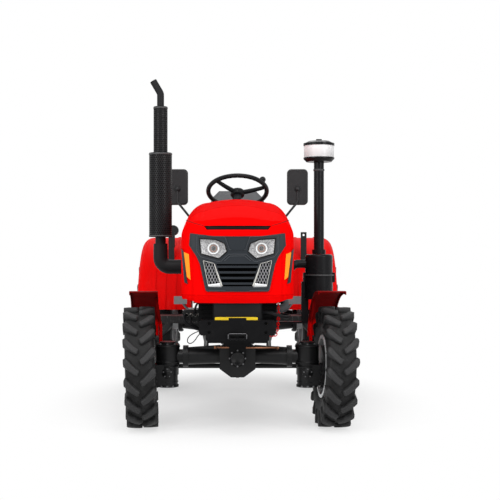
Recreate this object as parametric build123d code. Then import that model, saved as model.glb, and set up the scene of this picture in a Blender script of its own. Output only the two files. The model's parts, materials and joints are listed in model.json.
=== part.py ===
from build123d import *
from math import cos, pi, radians, sin, sqrt
import os

# A compact four-wheel-drive farm tractor in millimetres: +Z up, nose toward -Y.
# Every length along the tractor is written as s, the distance behind the front axle.
# The tractor's left is +X, and left-hand pieces are mirrored to make the right-hand ones.

# Driving dimensions
WHEELBASE = 1550.0
FRONT_TRACK = 1022.0
REAR_TRACK = 1070.0
FRONT_END_S = -384.0
REST_STEER_DEG = 4.0
CAMBER_DEG = 2.0

# Clearances
RUN_FIT = 0.05
FACE_GAP = 0.4
SEAT_FIT = 0.3
PIVOT_SIDE = 1.0
CUT_PAST = 5.0

# Front wheel
FRONT_TYRE_R = 320.0
FRONT_TYRE_W = 165.0
FRONT_BEAD_R = 158.0
FRONT_BEAD_HALF = 60.0
FRONT_LUG_H = 22.0
FRONT_LUGS = 18
FRONT_LUG_W = 27.0
FRONT_LUG_LEAD = 35.0
FRONT_LUG_TRAIL = 31.0
FRONT_DISC_X = -14.0
FRONT_HUB_R = 42.0
FRONT_STUD_PCD = 140.0
FRONT_STUDS = 5

# Rear wheel
REAR_TYRE_R = 470.0
REAR_TYRE_W = 236.0
REAR_BEAD_R = 210.0
REAR_BEAD_HALF = 95.0
REAR_LUG_H = 28.0
REAR_LUGS = 18
REAR_LUG_W = 36.0
REAR_LUG_LEAD = 50.0
REAR_LUG_TRAIL = 45.0
REAR_DISC_X = -34.0
REAR_HUB_R = 66.0
REAR_STUD_PCD = 190.0
REAR_STUDS = 6

# Both wheels
TYRE_SIDES = 24
TYRE_SHOULDER = 9.0
TYRE_HEEL = 8.0
LUG_ROOT = 9.0
LUG_NOSE_PAST = 4.0
LUG_HEEL_SHORT = 10.0
LUG_HEEL_DROP = 7.0
LUG_TAPER_DEG = 11.0
RIM_WALL = 8.0
RIM_LIP = 9.0
RIM_LIP_THICK = 3.5
RIM_WELL = 14.0
RIM_SEAT_WIDE = 22.0
DISC_THICK = 9.0
DISC_DISH = 16.0
HUB_PROUD = 42.0
STUD_NUT_R = 11.0
STUD_NUT_LONG = 16.0
HAND_HOLE_R = 15.0
HAND_HOLE_INSET = 36.0

# Front axle and steering
KINGPIN_X = 369.0
KINGPIN_R = 30.0
KINGPIN_DEEP = 58.0
AXLE_Z = 376.0
AXLE_TUBE_R = 44.0
AXLE_NECK_R = 37.0
AXLE_RIB = 10.0
AXLE_RIB_TALL = 60.0
AXLE_FLANGE_X = 262.0
AXLE_FLANGE_R = 58.0
AXLE_FLANGE_THICK = 26.0
GEAR_CASE_R = 62.0
GEAR_CASE_LOW = 335.0
GEAR_CASE_TOP = 440.0
GEAR_CAP_R = 44.0
GEAR_CAP_TALL = 14.0
DIFF_HALF = 94.0
DIFF_LOW = 272.0
DIFF_LOW_HALF = 34.0
DIFF_SHOULDER_Z = 316.0
DIFF_TOP = 444.0
DIFF_TOP_HALF = 52.0
DIFF_CHEEK_Z = 424.0
DIFF_DEEP = 74.0
DRAIN_R = 9.0
DRAIN_LOW = 262.0
PIVOT_PIN_R = 24.0
PIVOT_S = 92.0
PIVOT_THICK = 26.0
PIVOT_BOSS_R = 44.0
PIVOT_NOSE = 8.0
DRUM_R = 112.0
DRUM_IN_X = 437.0
DRUM_BOLT_PCD = 188.0
DRUM_BOLTS = 5
DRUM_BOLT_R = 8.0
DRUM_BOLT_TALL = 8.0
WEB_HALF = 52.0
WEB_LOW = 226.0
KNUCKLE_LOW = 216.0
KNUCKLE_R = 52.0
STUB_R = 28.0
STUB_LENGTH = 34.0
STUB_BOSS = 26.0
STEER_ARM = 165.0
STEER_ARM_ROOT = 34.0
STEER_ARM_TIP = 20.0
STEER_ARM_THICK = 18.0
STEER_PIN_R = 10.0
TIE_ROD_R = 13.0
TIE_ROD_Z = 306.0
TIE_END_R = 22.0
TIE_END_HALF = 16.0
MUDGUARD_R = 398.0
MUDGUARD_SHEET = 4.0
MUDGUARD_LIP = 14.0
MUDGUARD_IN = -88.0
MUDGUARD_OUT = 62.0
MUDGUARD_FROM = -6.0
MUDGUARD_TO = 70.0
MUDGUARD_ROD_R = 9.0
MUDGUARD_ROD_BEND = 20.0
MUDGUARD_ROD_IN = 40.0
MUDGUARD_ROD_S = 118.0
MUDGUARD_ROD_TOP_S = 172.0
MUDGUARD_ROD_LOW = 300.0
MUDGUARD_ROD_KNEE = 520.0
MUDGUARD_ROD_TOP = 672.0

# Front support, plate, battery and radiator
SUPPORT_HALF = 150.0
SUPPORT_LOW = 478.0
SUPPORT_TOP = 540.0
SUPPORT_END = 60.0
KEEL_HALF = 70.0
KEEL_S = -300.0
KEEL_END = 120.0
KEEL_LOW = 454.0
HANGER_HALF = 44.0
PLATE_HALF = 190.0
PLATE_LOW_HALF = 155.0
PLATE_LOW = 487.0
PLATE_STEP = 517.0
PLATE_TOP = 592.0
PLATE_CORNER = 10.0
PLATE_THICK = 14.0
PLATE_HOLE_X = 140.0
PLATE_HOLE_LOW = 532.0
PLATE_HOLE_HIGH = 576.0
PLATE_HOLE_R = 8.5
TOW_HALF = 44.0
TOW_LOW = 497.0
TOW_TOP = 527.0
TOW_PROUD = 30.0
TOW_WALL = 9.0
TOW_PIN_R = 10.0
HOOK_TALL = 11.0
BATTERY_HALF = 118.0
BATTERY_S = -266.0
BATTERY_DEEP = 170.0
BATTERY_TALL = 190.0
BATTERY_LID = 28.0
BATTERY_LIP = 4.0
BATTERY_POST_R = 9.0
BATTERY_POST_TALL = 18.0
BATTERY_POST_IN = 30.0
STRAP_WIDE = 26.0
STRAP_THICK = 5.0
RADIATOR_HALF = 205.0
RADIATOR_S = -70.0
RADIATOR_DEEP = 60.0
RADIATOR_TOP = 1010.0
RADIATOR_TANK_LOW = 950.0
RADIATOR_TANK_OVER = 22.0
RADIATOR_SIDE = 18.0
RADIATOR_FIN = 6.0
RADIATOR_FINS = 18
FILLER_X = -90.0
FILLER_R = 24.0
FILLER_TALL = 24.0
SHROUD_R = 180.0
SHROUD_WALL = 8.0
SHROUD_DEEP = 48.0
FAN_Z = 760.0
FAN_R = 160.0
FAN_S = 20.0
FAN_HUB_R = 40.0
FAN_BLADES = 6
FAN_BLADE_W = 66.0
FAN_BLADE_THICK = 4.0
FAN_PITCH_DEG = 30.0
HOSE_R = 23.0
HOSE_BEND = 42.0
HOSE_X = 252.0
HOSE_LOW = 628.0
HOSE_TOP = 700.0

# Engine and driveline
RAIL_X = 128.0
RAIL_WIDE = 22.0
RAIL_LOW = 468.0
RAIL_TALL = 78.0
RAIL_S = 40.0
RAIL_PAST = 12.0
ENGINE_S = 90.0
ENGINE_END = 520.0
ENGINE_HALF = 128.0
PAN_S = 132.0
PAN_LOW = 446.0
PAN_SIDE = 6.0
BLOCK_LOW = 580.0
BLOCK_TOP = 742.0
BLOCK_RIB = 9.0
BLOCK_RIBS = 5
CRANK_Z = 620.0
CRANK_PULLEY_R = 78.0
PULLEY_AHEAD = 40.0
ALTERNATOR_X = 104.0
ALTERNATOR_Z = 700.0
ALTERNATOR_R = 44.0
PUMP_R = 48.0
BELT_THICK = 6.0
BELT_WIDE = 12.0
BELT_AHEAD = 30.0
STARTER_X = 148.0
STARTER_Z = 612.0
STARTER_R = 40.0
STARTER_LONG = 170.0
FILTER_X = -172.0
FILTER_Z = 640.0
FILTER_R = 38.0
FILTER_LONG = 104.0
HEAD_TOP = 826.0
HEAD_INSET = 8.0
HEAD_END_INSET = 10.0
COVER_TOP = 886.0
COVER_HALF = 80.0
COVER_INSET = 30.0
COVER_ROUND = 18.0
PORTS = 3
PORT_R = 20.0
MANIFOLD_X = 152.0
MANIFOLD_R = 26.0
MANIFOLD_Z = 794.0
MANIFOLD_FACE = 184.0
MANIFOLD_FLANGE = 34.0
BELL_LOW = 430.0
BELL_TOP = 700.0
BELL_HALF = 148.0
BELL_FLANGE = 28.0
CLUTCH_END = 720.0
GEARBOX_HALF = 128.0
GEARBOX_LOW = 372.0
GEARBOX_TOP = 628.0
GEARBOX_CORNER = 34.0
GEARBOX_RIBS = 3
GEARBOX_RIB = 16.0
GEARBOX_RIB_PROUD = 9.0
GEARBOX_JOIN = -170.0
REAR_CASE_HALF = 150.0
REAR_CASE_LOW = 336.0
REAR_CASE_TOP = 620.0
REAR_CASE_CORNER = 40.0
REAR_CASE_BACK = 140.0
TRUMPET_R = 82.0
TRUMPET_NECK_R = 62.0
TRUMPET_END_X = 404.0
TRUMPET_FLANGE = 24.0
TRUMPET_FLANGE_R = 84.0
BRAKE_R = 112.0
BRAKE_X = 214.0
LINK_BOSS_R = 24.0
CLEVIS_HALF = 40.0
CLEVIS_GAP_HALF = 24.0
CLEVIS_LOW = 70.0
CLEVIS_SEAT = 34.0
CLEVIS_OVER = 24.0

# Hood and its nose
HOOD_HALF = 288.0
HOOD_SHEET = 6.0
HOOD_NOSE_S = -300.0
HOOD_REAR_S = 700.0
HOOD_LOW = 671.0
HOOD_SIDE_LOW = 905.0
HOOD_SIDE_S = -62.0
HOOD_EDGE_X = 176.0
HOOD_NOSE_REACH = 30.0
HOOD_NOSE_SIDE_Z = 985.0
HOOD_NOSE_EDGE_Z = 1072.0
HOOD_NOSE_CROWN_Z = 1086.0
HOOD_FRONT_S = 0.0
HOOD_FRONT_SIDE_Z = 1035.0
HOOD_FRONT_EDGE_Z = 1138.0
HOOD_FRONT_CROWN_Z = 1156.0
HOOD_MID_S = 350.0
HOOD_MID_SIDE_Z = 1075.0
HOOD_MID_EDGE_Z = 1194.0
HOOD_MID_CROWN_Z = 1214.0
HOOD_REAR_SIDE_Z = 1096.0
HOOD_REAR_EDGE_Z = 1228.0
HOOD_REAR_CROWN_Z = 1248.0
HOOD_HINGE_GAP = 6.0
HOOD_HINGE_Z = 1200.0
HOOD_PIN_R = 8.0
HOOD_EYE_WALL = 9.0
HOOD_EYE_IN = 150.0
HOOD_EYE_OUT = 180.0
HOOD_EAR = 16.0
NOSE_CORNER_X = 214.0
NOSE_CORNER_BACK = 34.0
NOSE_CHEEK_IN = 22.0
NOSE_CHEEK_BACK = 74.0
NOSE_SIDE_BACK = 150.0
CREASE_Z = 708.0
VALANCE_LEAN = 22.0
VALANCE_CUT_X = 200.0
VALANCE_CUT_OUT = 252.0
VALANCE_CUT_Z = 688.0
BROW_Z = 1062.0
BROW_BACK = 46.0
BROW_TOP = 1104.0
SLOT_LOW = 1040.0
SLOT_TOP = 1060.0
SLOT_LOW_HALF = 154.0
SLOT_TOP_HALF = 170.0
MASK_PROUD = 7.0
MASK_DEEP = 12.0
BADGE_PROUD = 11.0
BADGE_TOP = 1000.0
BADGE_LOW = 938.0
BADGE_TOP_HALF = 54.0
BADGE_LOW_HALF = 31.0
GRILLE_LOW = 756.0
GRILLE_TOP = 868.0
GRILLE_LOW_HALF = 72.0
GRILLE_TOP_HALF = 106.0
GRILLE_BARS = 4
GRILLE_BAR = 11.0
MASK_INSET = 2.0
MESH_PITCH = 15.0
MESH_STRIP = 4.0
MESH_LEAN = 0.5
MESH_BACK = 4.0
LAMP_PROUD = 4.0
LAMP_DEEP = 40.0
SIDE_LAMP_PROUD = 6.0
TRIM_PROUD = 5.0
MASK_HALF_OUTLINE = ((0.0, 729.0), (152.0, 729.0), (161.0, 736.0), (190.0, 868.0), (207.0, 905.0),
                     (245.0, 962.0), (240.0, 1023.0), (125.0, 1008.0), (0.0, 1006.0))
HEADLAMP_OUTLINE = ((192.0, 997.0), (110.0, 991.0), (64.0, 971.0), (52.0, 930.0), (93.0, 894.0),
                    (184.0, 918.0))
INLET_OUTLINE = ((172.0, 885.0), (116.0, 870.0), (79.0, 754.0), (146.0, 752.0))
SIDE_LAMP_OUTLINE = ((273.0, 928.0), (246.0, 917.0), (237.0, 788.0), (256.0, 802.0))
TRIM_OUTLINE = ((288.0, 946.0), (276.0, 933.0), (259.0, 800.0), (252.0, 766.0), (270.0, 774.0))

# Stacks
EXHAUST_X = -440.0
EXHAUST_S = 400.0
ELBOW_R = 41.0
ELBOW_Z = 846.0
ELBOW_BEND = 52.0
ELBOW_RISE_X = -290.0
ELBOW_TOP = 944.0
CLAMP_R = 40.0
CLAMP_LOW = 936.0
CLAMP_TOP = 978.0
EXHAUST_PIPE_R = 30.0
GUARD_R = 65.0
GUARD_WALL = 4.0
GUARD_AIR = 10.0
GUARD_LOW = 1016.0
GUARD_TOP = 1496.0
UPPER_GUARD_R = 40.0
UPPER_GUARD_TOP = 1760.0
TIP_R = 20.0
TIP_KNEE_Z = 1836.0
TIP_Z = 1908.0
TIP_OUT = 42.0
TIP_BEND = 40.0
AIR_X = 468.0
AIR_S = 430.0
AIR_CAN_R = 79.0
AIR_CAN_LOW = 660.0
AIR_CAN_TOP = 918.0
AIR_CAN_ROUND = 16.0
AIR_CUP_LIP = 5.0
AIR_CUP_Z = 798.0
AIR_BAND = 12.0
AIR_CLIP = 14.0
AIR_DUCT_R = 24.0
AIR_DUCT_Z = 862.0
AIR_DUCT_BEND = 40.0
AIR_DUCT_KNEE_X = 330.0
AIR_DUCT_LOW_X = 256.0
AIR_DUCT_AHEAD = 60.0
AIR_POST_IN = 100.0
AIR_POST_WIDE = 40.0
AIR_POST_LOW = 520.0
AIR_POST_TOP = 760.0
AIR_FOOT = 10.0
AIR_PIPE_R = 29.0
AIR_PIPE_TOP = 1448.0
AIR_COLLAR = 10.0
AIR_COLLAR_TALL = 26.0
BOWL_R = 86.0
BOWL_LOW = 1472.0
BOWL_TOP = 1540.0
BOWL_WALL = 5.0
BOWL_STEM_R = 22.0
CAP_OVER = 3.0
CAP_TALL = 14.0
DOME_TALL = 12.0
DOME_IN = 24.0
NUT_HALF = 16.0
NUT_THICK = 8.0
NUT_TALL = 14.0

# Driver's place
DASH_S = 756.0
DASH_END = 880.0
DASH_HALF = 232.0
DASH_LOW = 640.0
DASH_SHOULDER_Z = 1120.0
DASH_TOP = 1232.0
DASH_TOP_HALF = 162.0
DASH_CROWN = 10.0
DASH_FACE_TOP = 70.0
DASH_FACE_DROP = 110.0
DASH_FOOT_HALF = 110.0
DASH_FOOT_INSET = 10.0
COLUMN_TILT = 28.0
COLUMN_R = 24.0
COLUMN_LENGTH = 330.0
WHEEL_S = 1035.0
WHEEL_Z = 1318.0
WHEEL_R = 186.0
WHEEL_GRIP = 13.0
WHEEL_HUB_R = 42.0
WHEEL_HUB_UP = 6.0
WHEEL_HUB_DOWN = 34.0
WHEEL_SHAFT_R = 10.0
WHEEL_SHAFT_DEEP = 38.0
SPOKE_R = 8.0
SPOKES = 3
SPOKE_FIRST_DEG = -16.0
KNOB_DEG = -32.0
KNOB_R = 20.0
KNOB_STALK_R = 7.0
KNOB_STALK = 24.0
FLOOR_Z = 530.0
FLOOR_SHEET = 10.0
FLOOR_LENGTH = 210.0
FLOOR_BEHIND = 70.0
FLOOR_OUT = 486.0
FLOOR_IN_GAP = 20.0
FLOOR_LIP = 46.0
FLOOR_LIP_THICK = 8.0
FLOOR_BRACKET = 40.0
FLOOR_BRACKET_DEEP = 34.0
FENDER_R = 562.0
FENDER_SHEET = 6.0
FENDER_IN = 296.0
FENDER_SHORT = 11.0
FENDER_ROUND = 70.0
FENDER_SKIRT = 20.0
FENDER_WALL_R = 300.0
FENDER_FRONT_DEG = 80.0
FENDER_REAR_DEG = 68.0
FENDER_RIBS = 3
FENDER_RIB = 14.0
FENDER_RIB_PROUD = 5.0
FENDER_RIB_IN = 100.0
FENDER_RIB_PITCH = 66.0
FENDER_FOOT = 14.0
FENDER_FOOT_HALF = 30.0
FENDER_STAY_HALF = 60.0
SEAT_FRONT = -270.0
SEAT_Z = 905.0
SEAT_HALF = 215.0
SEAT_DEEP = 390.0
SEAT_PAD = 85.0
SEAT_ROUND = 22.0
SEAT_PAN = 15.0
SEAT_PAN_IN = 20.0
SEAT_BASE_HALF = 110.0
SEAT_BASE_S = 20.0
SEAT_BASE_LONG = 220.0
SEAT_BASE_THICK = 14.0
SEAT_BOX_IN = 20.0
SEAT_BACK_TOP = 1372.0
SEAT_BACK_HALF = 195.0
SEAT_BACK_CORNER = 60.0
SEAT_BACK_THICK = 80.0
SEAT_BACK_TOP_THICK = 60.0
SEAT_BACK_LEAN = 50.0
SEAT_BACK_GAP = 4.0
SEAT_STAY_HALF = 150.0
SEAT_STAY = 18.0
SEAT_STAY_SHORT = 60.0
MIRROR_X = 368.0
MIRROR_S = 800.0
MIRROR_Z = 1330.0
MIRROR_HALF = 64.0
MIRROR_TALL = 220.0
MIRROR_THICK = 28.0
MIRROR_CORNER = 26.0
MIRROR_ROUND = 8.0
MIRROR_ARM_R = 7.0
MIRROR_ARM_Z = 1100.0
MIRROR_ARM_OUT = 24.0
MIRROR_ARM_KNEE = 1238.0
MIRROR_ARM_BEND = 18.0
PEDAL_X = 350.0
PEDAL_S = 40.0
PEDAL_Z = 580.0
PEDAL_PAD_HALF = 40.0
PEDAL_PAD_LOW = 612.0
PEDAL_PAD_TOP = 660.0
PEDAL_PAD = 14.0
PEDAL_R = 8.0
PEDAL_BEND = 18.0
PEDAL_REACH = 40.0
LEVER_X = 60.0
LEVER_TOP = 900.0
LEVER_LEAN = 36.0
LEVER_STAGGER = 30.0
LEVER_R = 8.0
LEVER_KNOB_R = 19.0
LEVER_BOOT_R = 24.0
LEVER_BOOT = 30.0
HAND_LEVER_X = 430.0
HAND_LEVER_DEG = 42.0
HAND_LEVER_HALF = 19.0
HAND_LEVER_THICK = 8.0
HAND_LEVER_TOP = 1062.0
HAND_LEVER_HOLE_R = 7.0
WORK_LAMP_X = -424.0
WORK_LAMP_DEG = 28.0
WORK_LAMP_Z = 1076.0
WORK_LAMP_R = 34.0
WORK_LAMP_DEEP = 52.0
WORK_LAMP_STEM_R = 10.0
TANK_HALF = 170.0
TANK_LOW = 930.0
TANK_TOP = 1130.0
TANK_FRONT = 30.0
TANK_SHORT = 26.0
TANK_ROUND = 24.0
TANK_LEG_HALF = 120.0
TANK_LEG = 24.0
REAR_LAMP_X = 560.0
REAR_LAMP_HALF = 50.0
REAR_LAMP_DEG = 40.0
REAR_LAMP_TALL = 84.0
REAR_LAMP_DEEP = 46.0

# Lift and rear linkage, along the tractor measured behind the rear axle
LIFT_FRONT = -150.0
LIFT_HALF = 130.0
LIFT_TOP = 772.0
LIFT_END_Z = 716.0
LIFT_SLOPE = 120.0
LIFT_END_IN = 4.0
LIFT_CORNER = 26.0
LIFT_BOSS_R = 40.0
LIFT_BOSS_X = 150.0
LIFT_BACK = 40.0
LIFT_Z = 690.0
LIFT_SHAFT_R = 22.0
LIFT_ARM_X = 176.0
LIFT_ARM_WIDE = 20.0
LIFT_ARM_ROOT = 36.0
LIFT_ARM_EYE = 24.0
LINK_BACK = 90.0
LINK_Z = 372.0
LINK_X = 236.0
LINK_LENGTH = 590.0
LINK_REST_DEG = -13.0
LINK_LEVER = 262.0
LINK_WIDE = 16.0
LINK_TALL = 46.0
LINK_EYE = 10.0
LINK_PIN_R = 11.0
LINK_PIN_PAST = 8.0
LIFT_ROD_R = 12.0
LIFT_ROD_EYE = 23.0
BALL_R = 27.0
BALL_HOLE_R = 11.2
BALL_WIDE = 35.0
TOP_LINK_BACK = 220.0
TOP_LINK_Z = 640.0
TOP_LINK_LENGTH = 460.0
TOP_LINK_PIN_R = 9.5
TOP_HOLE_R = 9.65
TOP_LINK_TILT = 3.0
TOP_LINK_R = 11.0
TOP_BARREL_R = 17.0
TOP_BARREL_INSET = 90.0
TOP_EYE_R = 22.0
TOP_EYE_WIDE = 44.0
DRAWBAR_FRONT = -50.0
DRAWBAR_BACK = 440.0
DRAWBAR_HALF = 32.0
DRAWBAR_Z = 292.0
DRAWBAR_THICK = 26.0
DRAWBAR_HOLE_R = 13.5
DRAWBAR_HOLE_IN = 40.0
HANGER_BACK = 70.0
HANGER_LONG = 40.0
DRAWBAR_SEAT_HALF = 56.0
PTO_R = 17.5
PTO_Z = 500.0
PTO_LENGTH = 80.0
PTO_SPLINES = 6
PTO_SPLINE_W = 5.0
PTO_SPLINE_DEEP = 3.0
PTO_COLLAR_R = 50.0
PTO_COLLAR_WALL = 12.0
PTO_COLLAR = 26.0

# Worked out from the above
FRONT_X = FRONT_TRACK / 2
REAR_X = REAR_TRACK / 2
FRONT_HUB_Z = FRONT_TYRE_R
REAR_HUB_Z = REAR_TYRE_R
HOOD_HINGE_S = HOOD_REAR_S + HOOD_HINGE_GAP
GEARBOX_END = WHEELBASE + GEARBOX_JOIN
REAR_CASE_END = WHEELBASE + REAR_CASE_BACK
LIFT_S = WHEELBASE + LIFT_BACK
LINK_S = WHEELBASE + LINK_BACK
TOP_LINK_S = WHEELBASE + TOP_LINK_BACK
DRAWBAR_END = WHEELBASE + DRAWBAR_BACK
SEAT_S = WHEELBASE + SEAT_FRONT
FENDER_OUT = REAR_X + REAR_TYRE_W / 2 - FENDER_SHORT
FLOOR_END = WHEELBASE - REAR_TYRE_R - FLOOR_BEHIND
FLOOR_S = FLOOR_END - FLOOR_LENGTH
LEVER_S = (DASH_END + GEARBOX_END) / 2
TAIL_END = LINK_S + LINK_LENGTH * cos(radians(LINK_REST_DEG)) + LINK_TALL / 2 + LINK_EYE
ORIGIN_S = (FRONT_END_S - TOW_PROUD + TAIL_END) / 2


def ys(s):
    """Y of a place s behind the front axle."""
    return s - ORIGIN_S


def point(x, s, z):
    return Vector(x, ys(s), z)


# Small makers shared by all sub-parts

def block(x0, x1, s0, s1, z0, z1):
    middle = Pos((x0 + x1) / 2, ys((s0 + s1) / 2), (z0 + z1) / 2)
    return middle * Box(abs(x1 - x0), abs(s1 - s0), abs(z1 - z0))


def bar(start, end, radius, end_radius=None):
    """Round bar between two places given as (x, s, z), tapered where an end radius is given."""
    p = point(*start)
    run = point(*end) - p
    low = (Align.CENTER, Align.CENTER, Align.MIN)
    if end_radius is None:
        rod = Cylinder(radius, run.length, align=low)
    else:
        rod = Cone(radius, end_radius, run.length, align=low)
    return Plane(origin=p, z_dir=run.normalized()) * rod


def across(x0, x1, s, z, radius):
    return bar((x0, s, z), (x1, s, z), radius)


def upright(x, s, z0, z1, radius):
    return bar((x, s, z0), (x, s, z1), radius)


def along(x, s0, s1, z, radius):
    return bar((x, s0, z), (x, s1, z), radius)


def side_shape(outline, x0, x1):
    """Outline of (s, z) pushed across the tractor."""
    face = make_face(Polyline(*[(ys(s), z) for s, z in outline], close=True))
    return extrude(Plane.YZ.offset(x0) * face, x1 - x0)


def front_face(outline, s):
    """Outline of (x, z) as a face across the tractor."""
    return Plane.XZ.offset(-ys(s)) * make_face(Polyline(*outline, close=True))


def front_shape(outline, s0, s1):
    """Outline of (x, z) pushed along the tractor."""
    return extrude(front_face(outline, s1), s1 - s0)


def plan_shape(outline, z0, z1):
    """Outline of (x, s) pushed upward."""
    face = make_face(Polyline(*[(x, ys(s)) for x, s in outline], close=True))
    return extrude(Plane.XY.offset(z0) * face, z1 - z0)


def both_halves(half):
    """Half an outline, from the middle round to the middle, with its mirror image."""
    half = list(half)
    return half + [(-x, z) for x, z in reversed(half) if x > 0.001]


def octagon(half, low, high, corner):
    """Section of a casting: a rectangle of (x, z) with its corners cut."""
    return both_halves([(0, low), (half - corner, low), (half, low + corner),
                        (half, high - corner), (half - corner, high), (0, high)])


def on_side(outline, side):
    return [(side * x, z) for x, z in outline]


def bent(places, bend, radius):
    """Round bar that follows the places with rounded bends."""
    path = FilletPolyline(*[point(*p) for p in places], radius=bend)
    return sweep(Plane(origin=path @ 0, z_dir=path % 0) * Circle(radius), path=path)


def mirrored(shape):
    return mirror(shape, about=Plane.YZ)


def solids_of(*shapes):
    found = []
    for shape in shapes:
        found.extend(shape.solids())
    return Compound(found)


# Wheels, made about the X axis with their outer face toward +X

def axle_bar(x0, x1, radius):
    """Round bar along the wheel's axis."""
    return Pos((x0 + x1) / 2, 0, 0) * Rot(0, 90, 0) * Cylinder(radius, abs(x1 - x0))


def ring(x, flat_r):
    """Many-sided section of a tyre at x, measured to its flats."""
    plane = Plane(origin=(x, 0, 0), x_dir=(0, 0, 1), z_dir=(1, 0, 0))
    return plane * RegularPolygon(flat_r / cos(pi / TYRE_SIDES), TYRE_SIDES)


def lug(tip_r, width, height, lug_w, lead, trail):
    """One bar of tread on top of the tyre, nose near the middle and leading."""
    nose = Vector(LUG_NOSE_PAST, -lead, -lead ** 2 / (4 * tip_r))
    heel = Vector(width / 2 - LUG_HEEL_SHORT, trail, -LUG_HEEL_DROP)
    run = heel - nose
    long_way = run.normalized()
    wide_way = Vector(-run.Y, run.X, 0).normalized()
    base = (nose + heel) * 0.5 + Vector(0, 0, tip_r - height - LUG_ROOT)
    plane = Plane(origin=base, x_dir=long_way, z_dir=long_way.cross(wide_way))
    return extrude(plane * Rectangle(run.length, lug_w), height + LUG_ROOT, taper=LUG_TAPER_DEG)


def tyre(tip_r, width, bead_r, bead_half, height, count, lug_w, lead, trail):
    """Carcass lofted through many-sided sections, with a row of lugs on each side of the middle."""
    crown = tip_r - height
    rows = [(bead_half, bead_r + TYRE_HEEL), (width / 2, (bead_r + crown) / 2),
            (width / 2 - TYRE_SHOULDER, crown)]
    sections = [ring(-x, r) for x, r in rows] + [ring(x, r) for x, r in reversed(rows)]
    body = loft(sections, ruled=True) - extrude(ring(-width, bead_r), 2 * width)
    one = lug(tip_r, width, height, lug_w, lead, trail)
    other = mirrored(one)
    pitch = 360 / count
    lugs = []
    for i in range(count):
        lugs.append(Rot(i * pitch, 0, 0) * one)
        lugs.append(Rot((i + 0.5) * pitch, 0, 0) * other)
    return body.fuse(*lugs)


def rim(bead_r, bead_half, disc_x, hub_r, stud_pcd, studs):
    """Drop-centre rim with a dished disc, hub cap, wheel nuts and hand holes."""
    outer = bead_r - SEAT_FIT
    inner = outer - RIM_WALL
    lip_at = bead_half + RIM_LIP_THICK
    end = lip_at + RIM_LIP_THICK
    seat = lip_at - RIM_SEAT_WIDE
    well = seat - RIM_WELL
    right = [(well, outer - RIM_WELL), (seat, outer), (lip_at, outer), (lip_at, outer + RIM_LIP),
             (end, outer + RIM_LIP), (end, inner), (seat, inner), (well, inner - RIM_WELL)]
    left = [(-x, r) for x, r in reversed(right)]
    barrel = revolve(make_face(Polyline(*right, *left, close=True)), axis=Axis.X)
    edge = inner - RIM_WELL + 1
    foot = edge - RIM_WELL
    flat = stud_pcd / 2 + STUD_NUT_R * 2
    x0 = disc_x - DISC_THICK / 2
    x1 = disc_x + DISC_THICK / 2
    dish = [(x0, edge), (x1, edge), (x1, foot), (x1 + DISC_DISH, flat), (x1 + DISC_DISH, 0),
            (x0 + DISC_DISH, 0), (x0 + DISC_DISH, flat), (x0, foot)]
    body = barrel + revolve(make_face(Polyline(*dish, close=True)), axis=Axis.X)
    body = body + axle_bar(x0 + DISC_DISH, disc_x + HUB_PROUD, hub_r)
    nut_x = x1 + DISC_DISH - 1
    for i in range(studs):
        nut = Pos(0, 0, stud_pcd / 2) * axle_bar(nut_x, nut_x + STUD_NUT_LONG, STUD_NUT_R)
        body = body + Rot(i * 360 / studs, 0, 0) * nut
        hole = Pos(0, 0, edge - HAND_HOLE_INSET) * axle_bar(x0 - CUT_PAST, x1 + DISC_DISH + CUT_PAST,
                                                            HAND_HOLE_R)
        body = body - Rot((i + 0.5) * 360 / studs, 0, 0) * hole
    return body


def front_wheel():
    """Tyre and rim of the left front wheel in their own frame."""
    rubber = tyre(FRONT_TYRE_R, FRONT_TYRE_W, FRONT_BEAD_R, FRONT_BEAD_HALF, FRONT_LUG_H,
                  FRONT_LUGS, FRONT_LUG_W, FRONT_LUG_LEAD, FRONT_LUG_TRAIL)
    steel = rim(FRONT_BEAD_R, FRONT_BEAD_HALF, FRONT_DISC_X, FRONT_HUB_R, FRONT_STUD_PCD, FRONT_STUDS)
    stub_end = FRONT_DISC_X - DISC_THICK / 2 - STUB_LENGTH
    return rubber, steel + axle_bar(stub_end, FRONT_DISC_X + DISC_DISH, STUB_R)


def rear_wheel():
    """Tyre and rim of the left rear wheel in their own frame."""
    rubber = tyre(REAR_TYRE_R, REAR_TYRE_W, REAR_BEAD_R, REAR_BEAD_HALF, REAR_LUG_H,
                  REAR_LUGS, REAR_LUG_W, REAR_LUG_LEAD, REAR_LUG_TRAIL)
    steel = rim(REAR_BEAD_R, REAR_BEAD_HALF, REAR_DISC_X, REAR_HUB_R, REAR_STUD_PCD, REAR_STUDS)
    face_x = TRUMPET_END_X + FACE_GAP - REAR_X
    hub = axle_bar(face_x, REAR_DISC_X + DISC_DISH, REAR_HUB_R)
    shaft = axle_bar(face_x - STUB_LENGTH, face_x + 1, STUB_R)
    return rubber, steel + hub + shaft


def steered(shape, side):
    """A shape drawn straight ahead, turned about its kingpin to the parked angle."""
    pin = Pos(side * KINGPIN_X, ys(0), 0)
    back = Pos(-side * KINGPIN_X, -ys(0), 0)
    return pin * Rot(0, 0, REST_STEER_DEG) * back * shape


def front_place():
    return Pos(FRONT_X, ys(0), FRONT_HUB_Z) * Rot(0, CAMBER_DEG, 0)


def rear_place():
    return Pos(REAR_X, ys(WHEELBASE), REAR_HUB_Z)


# Front axle and what steers with it

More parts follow.
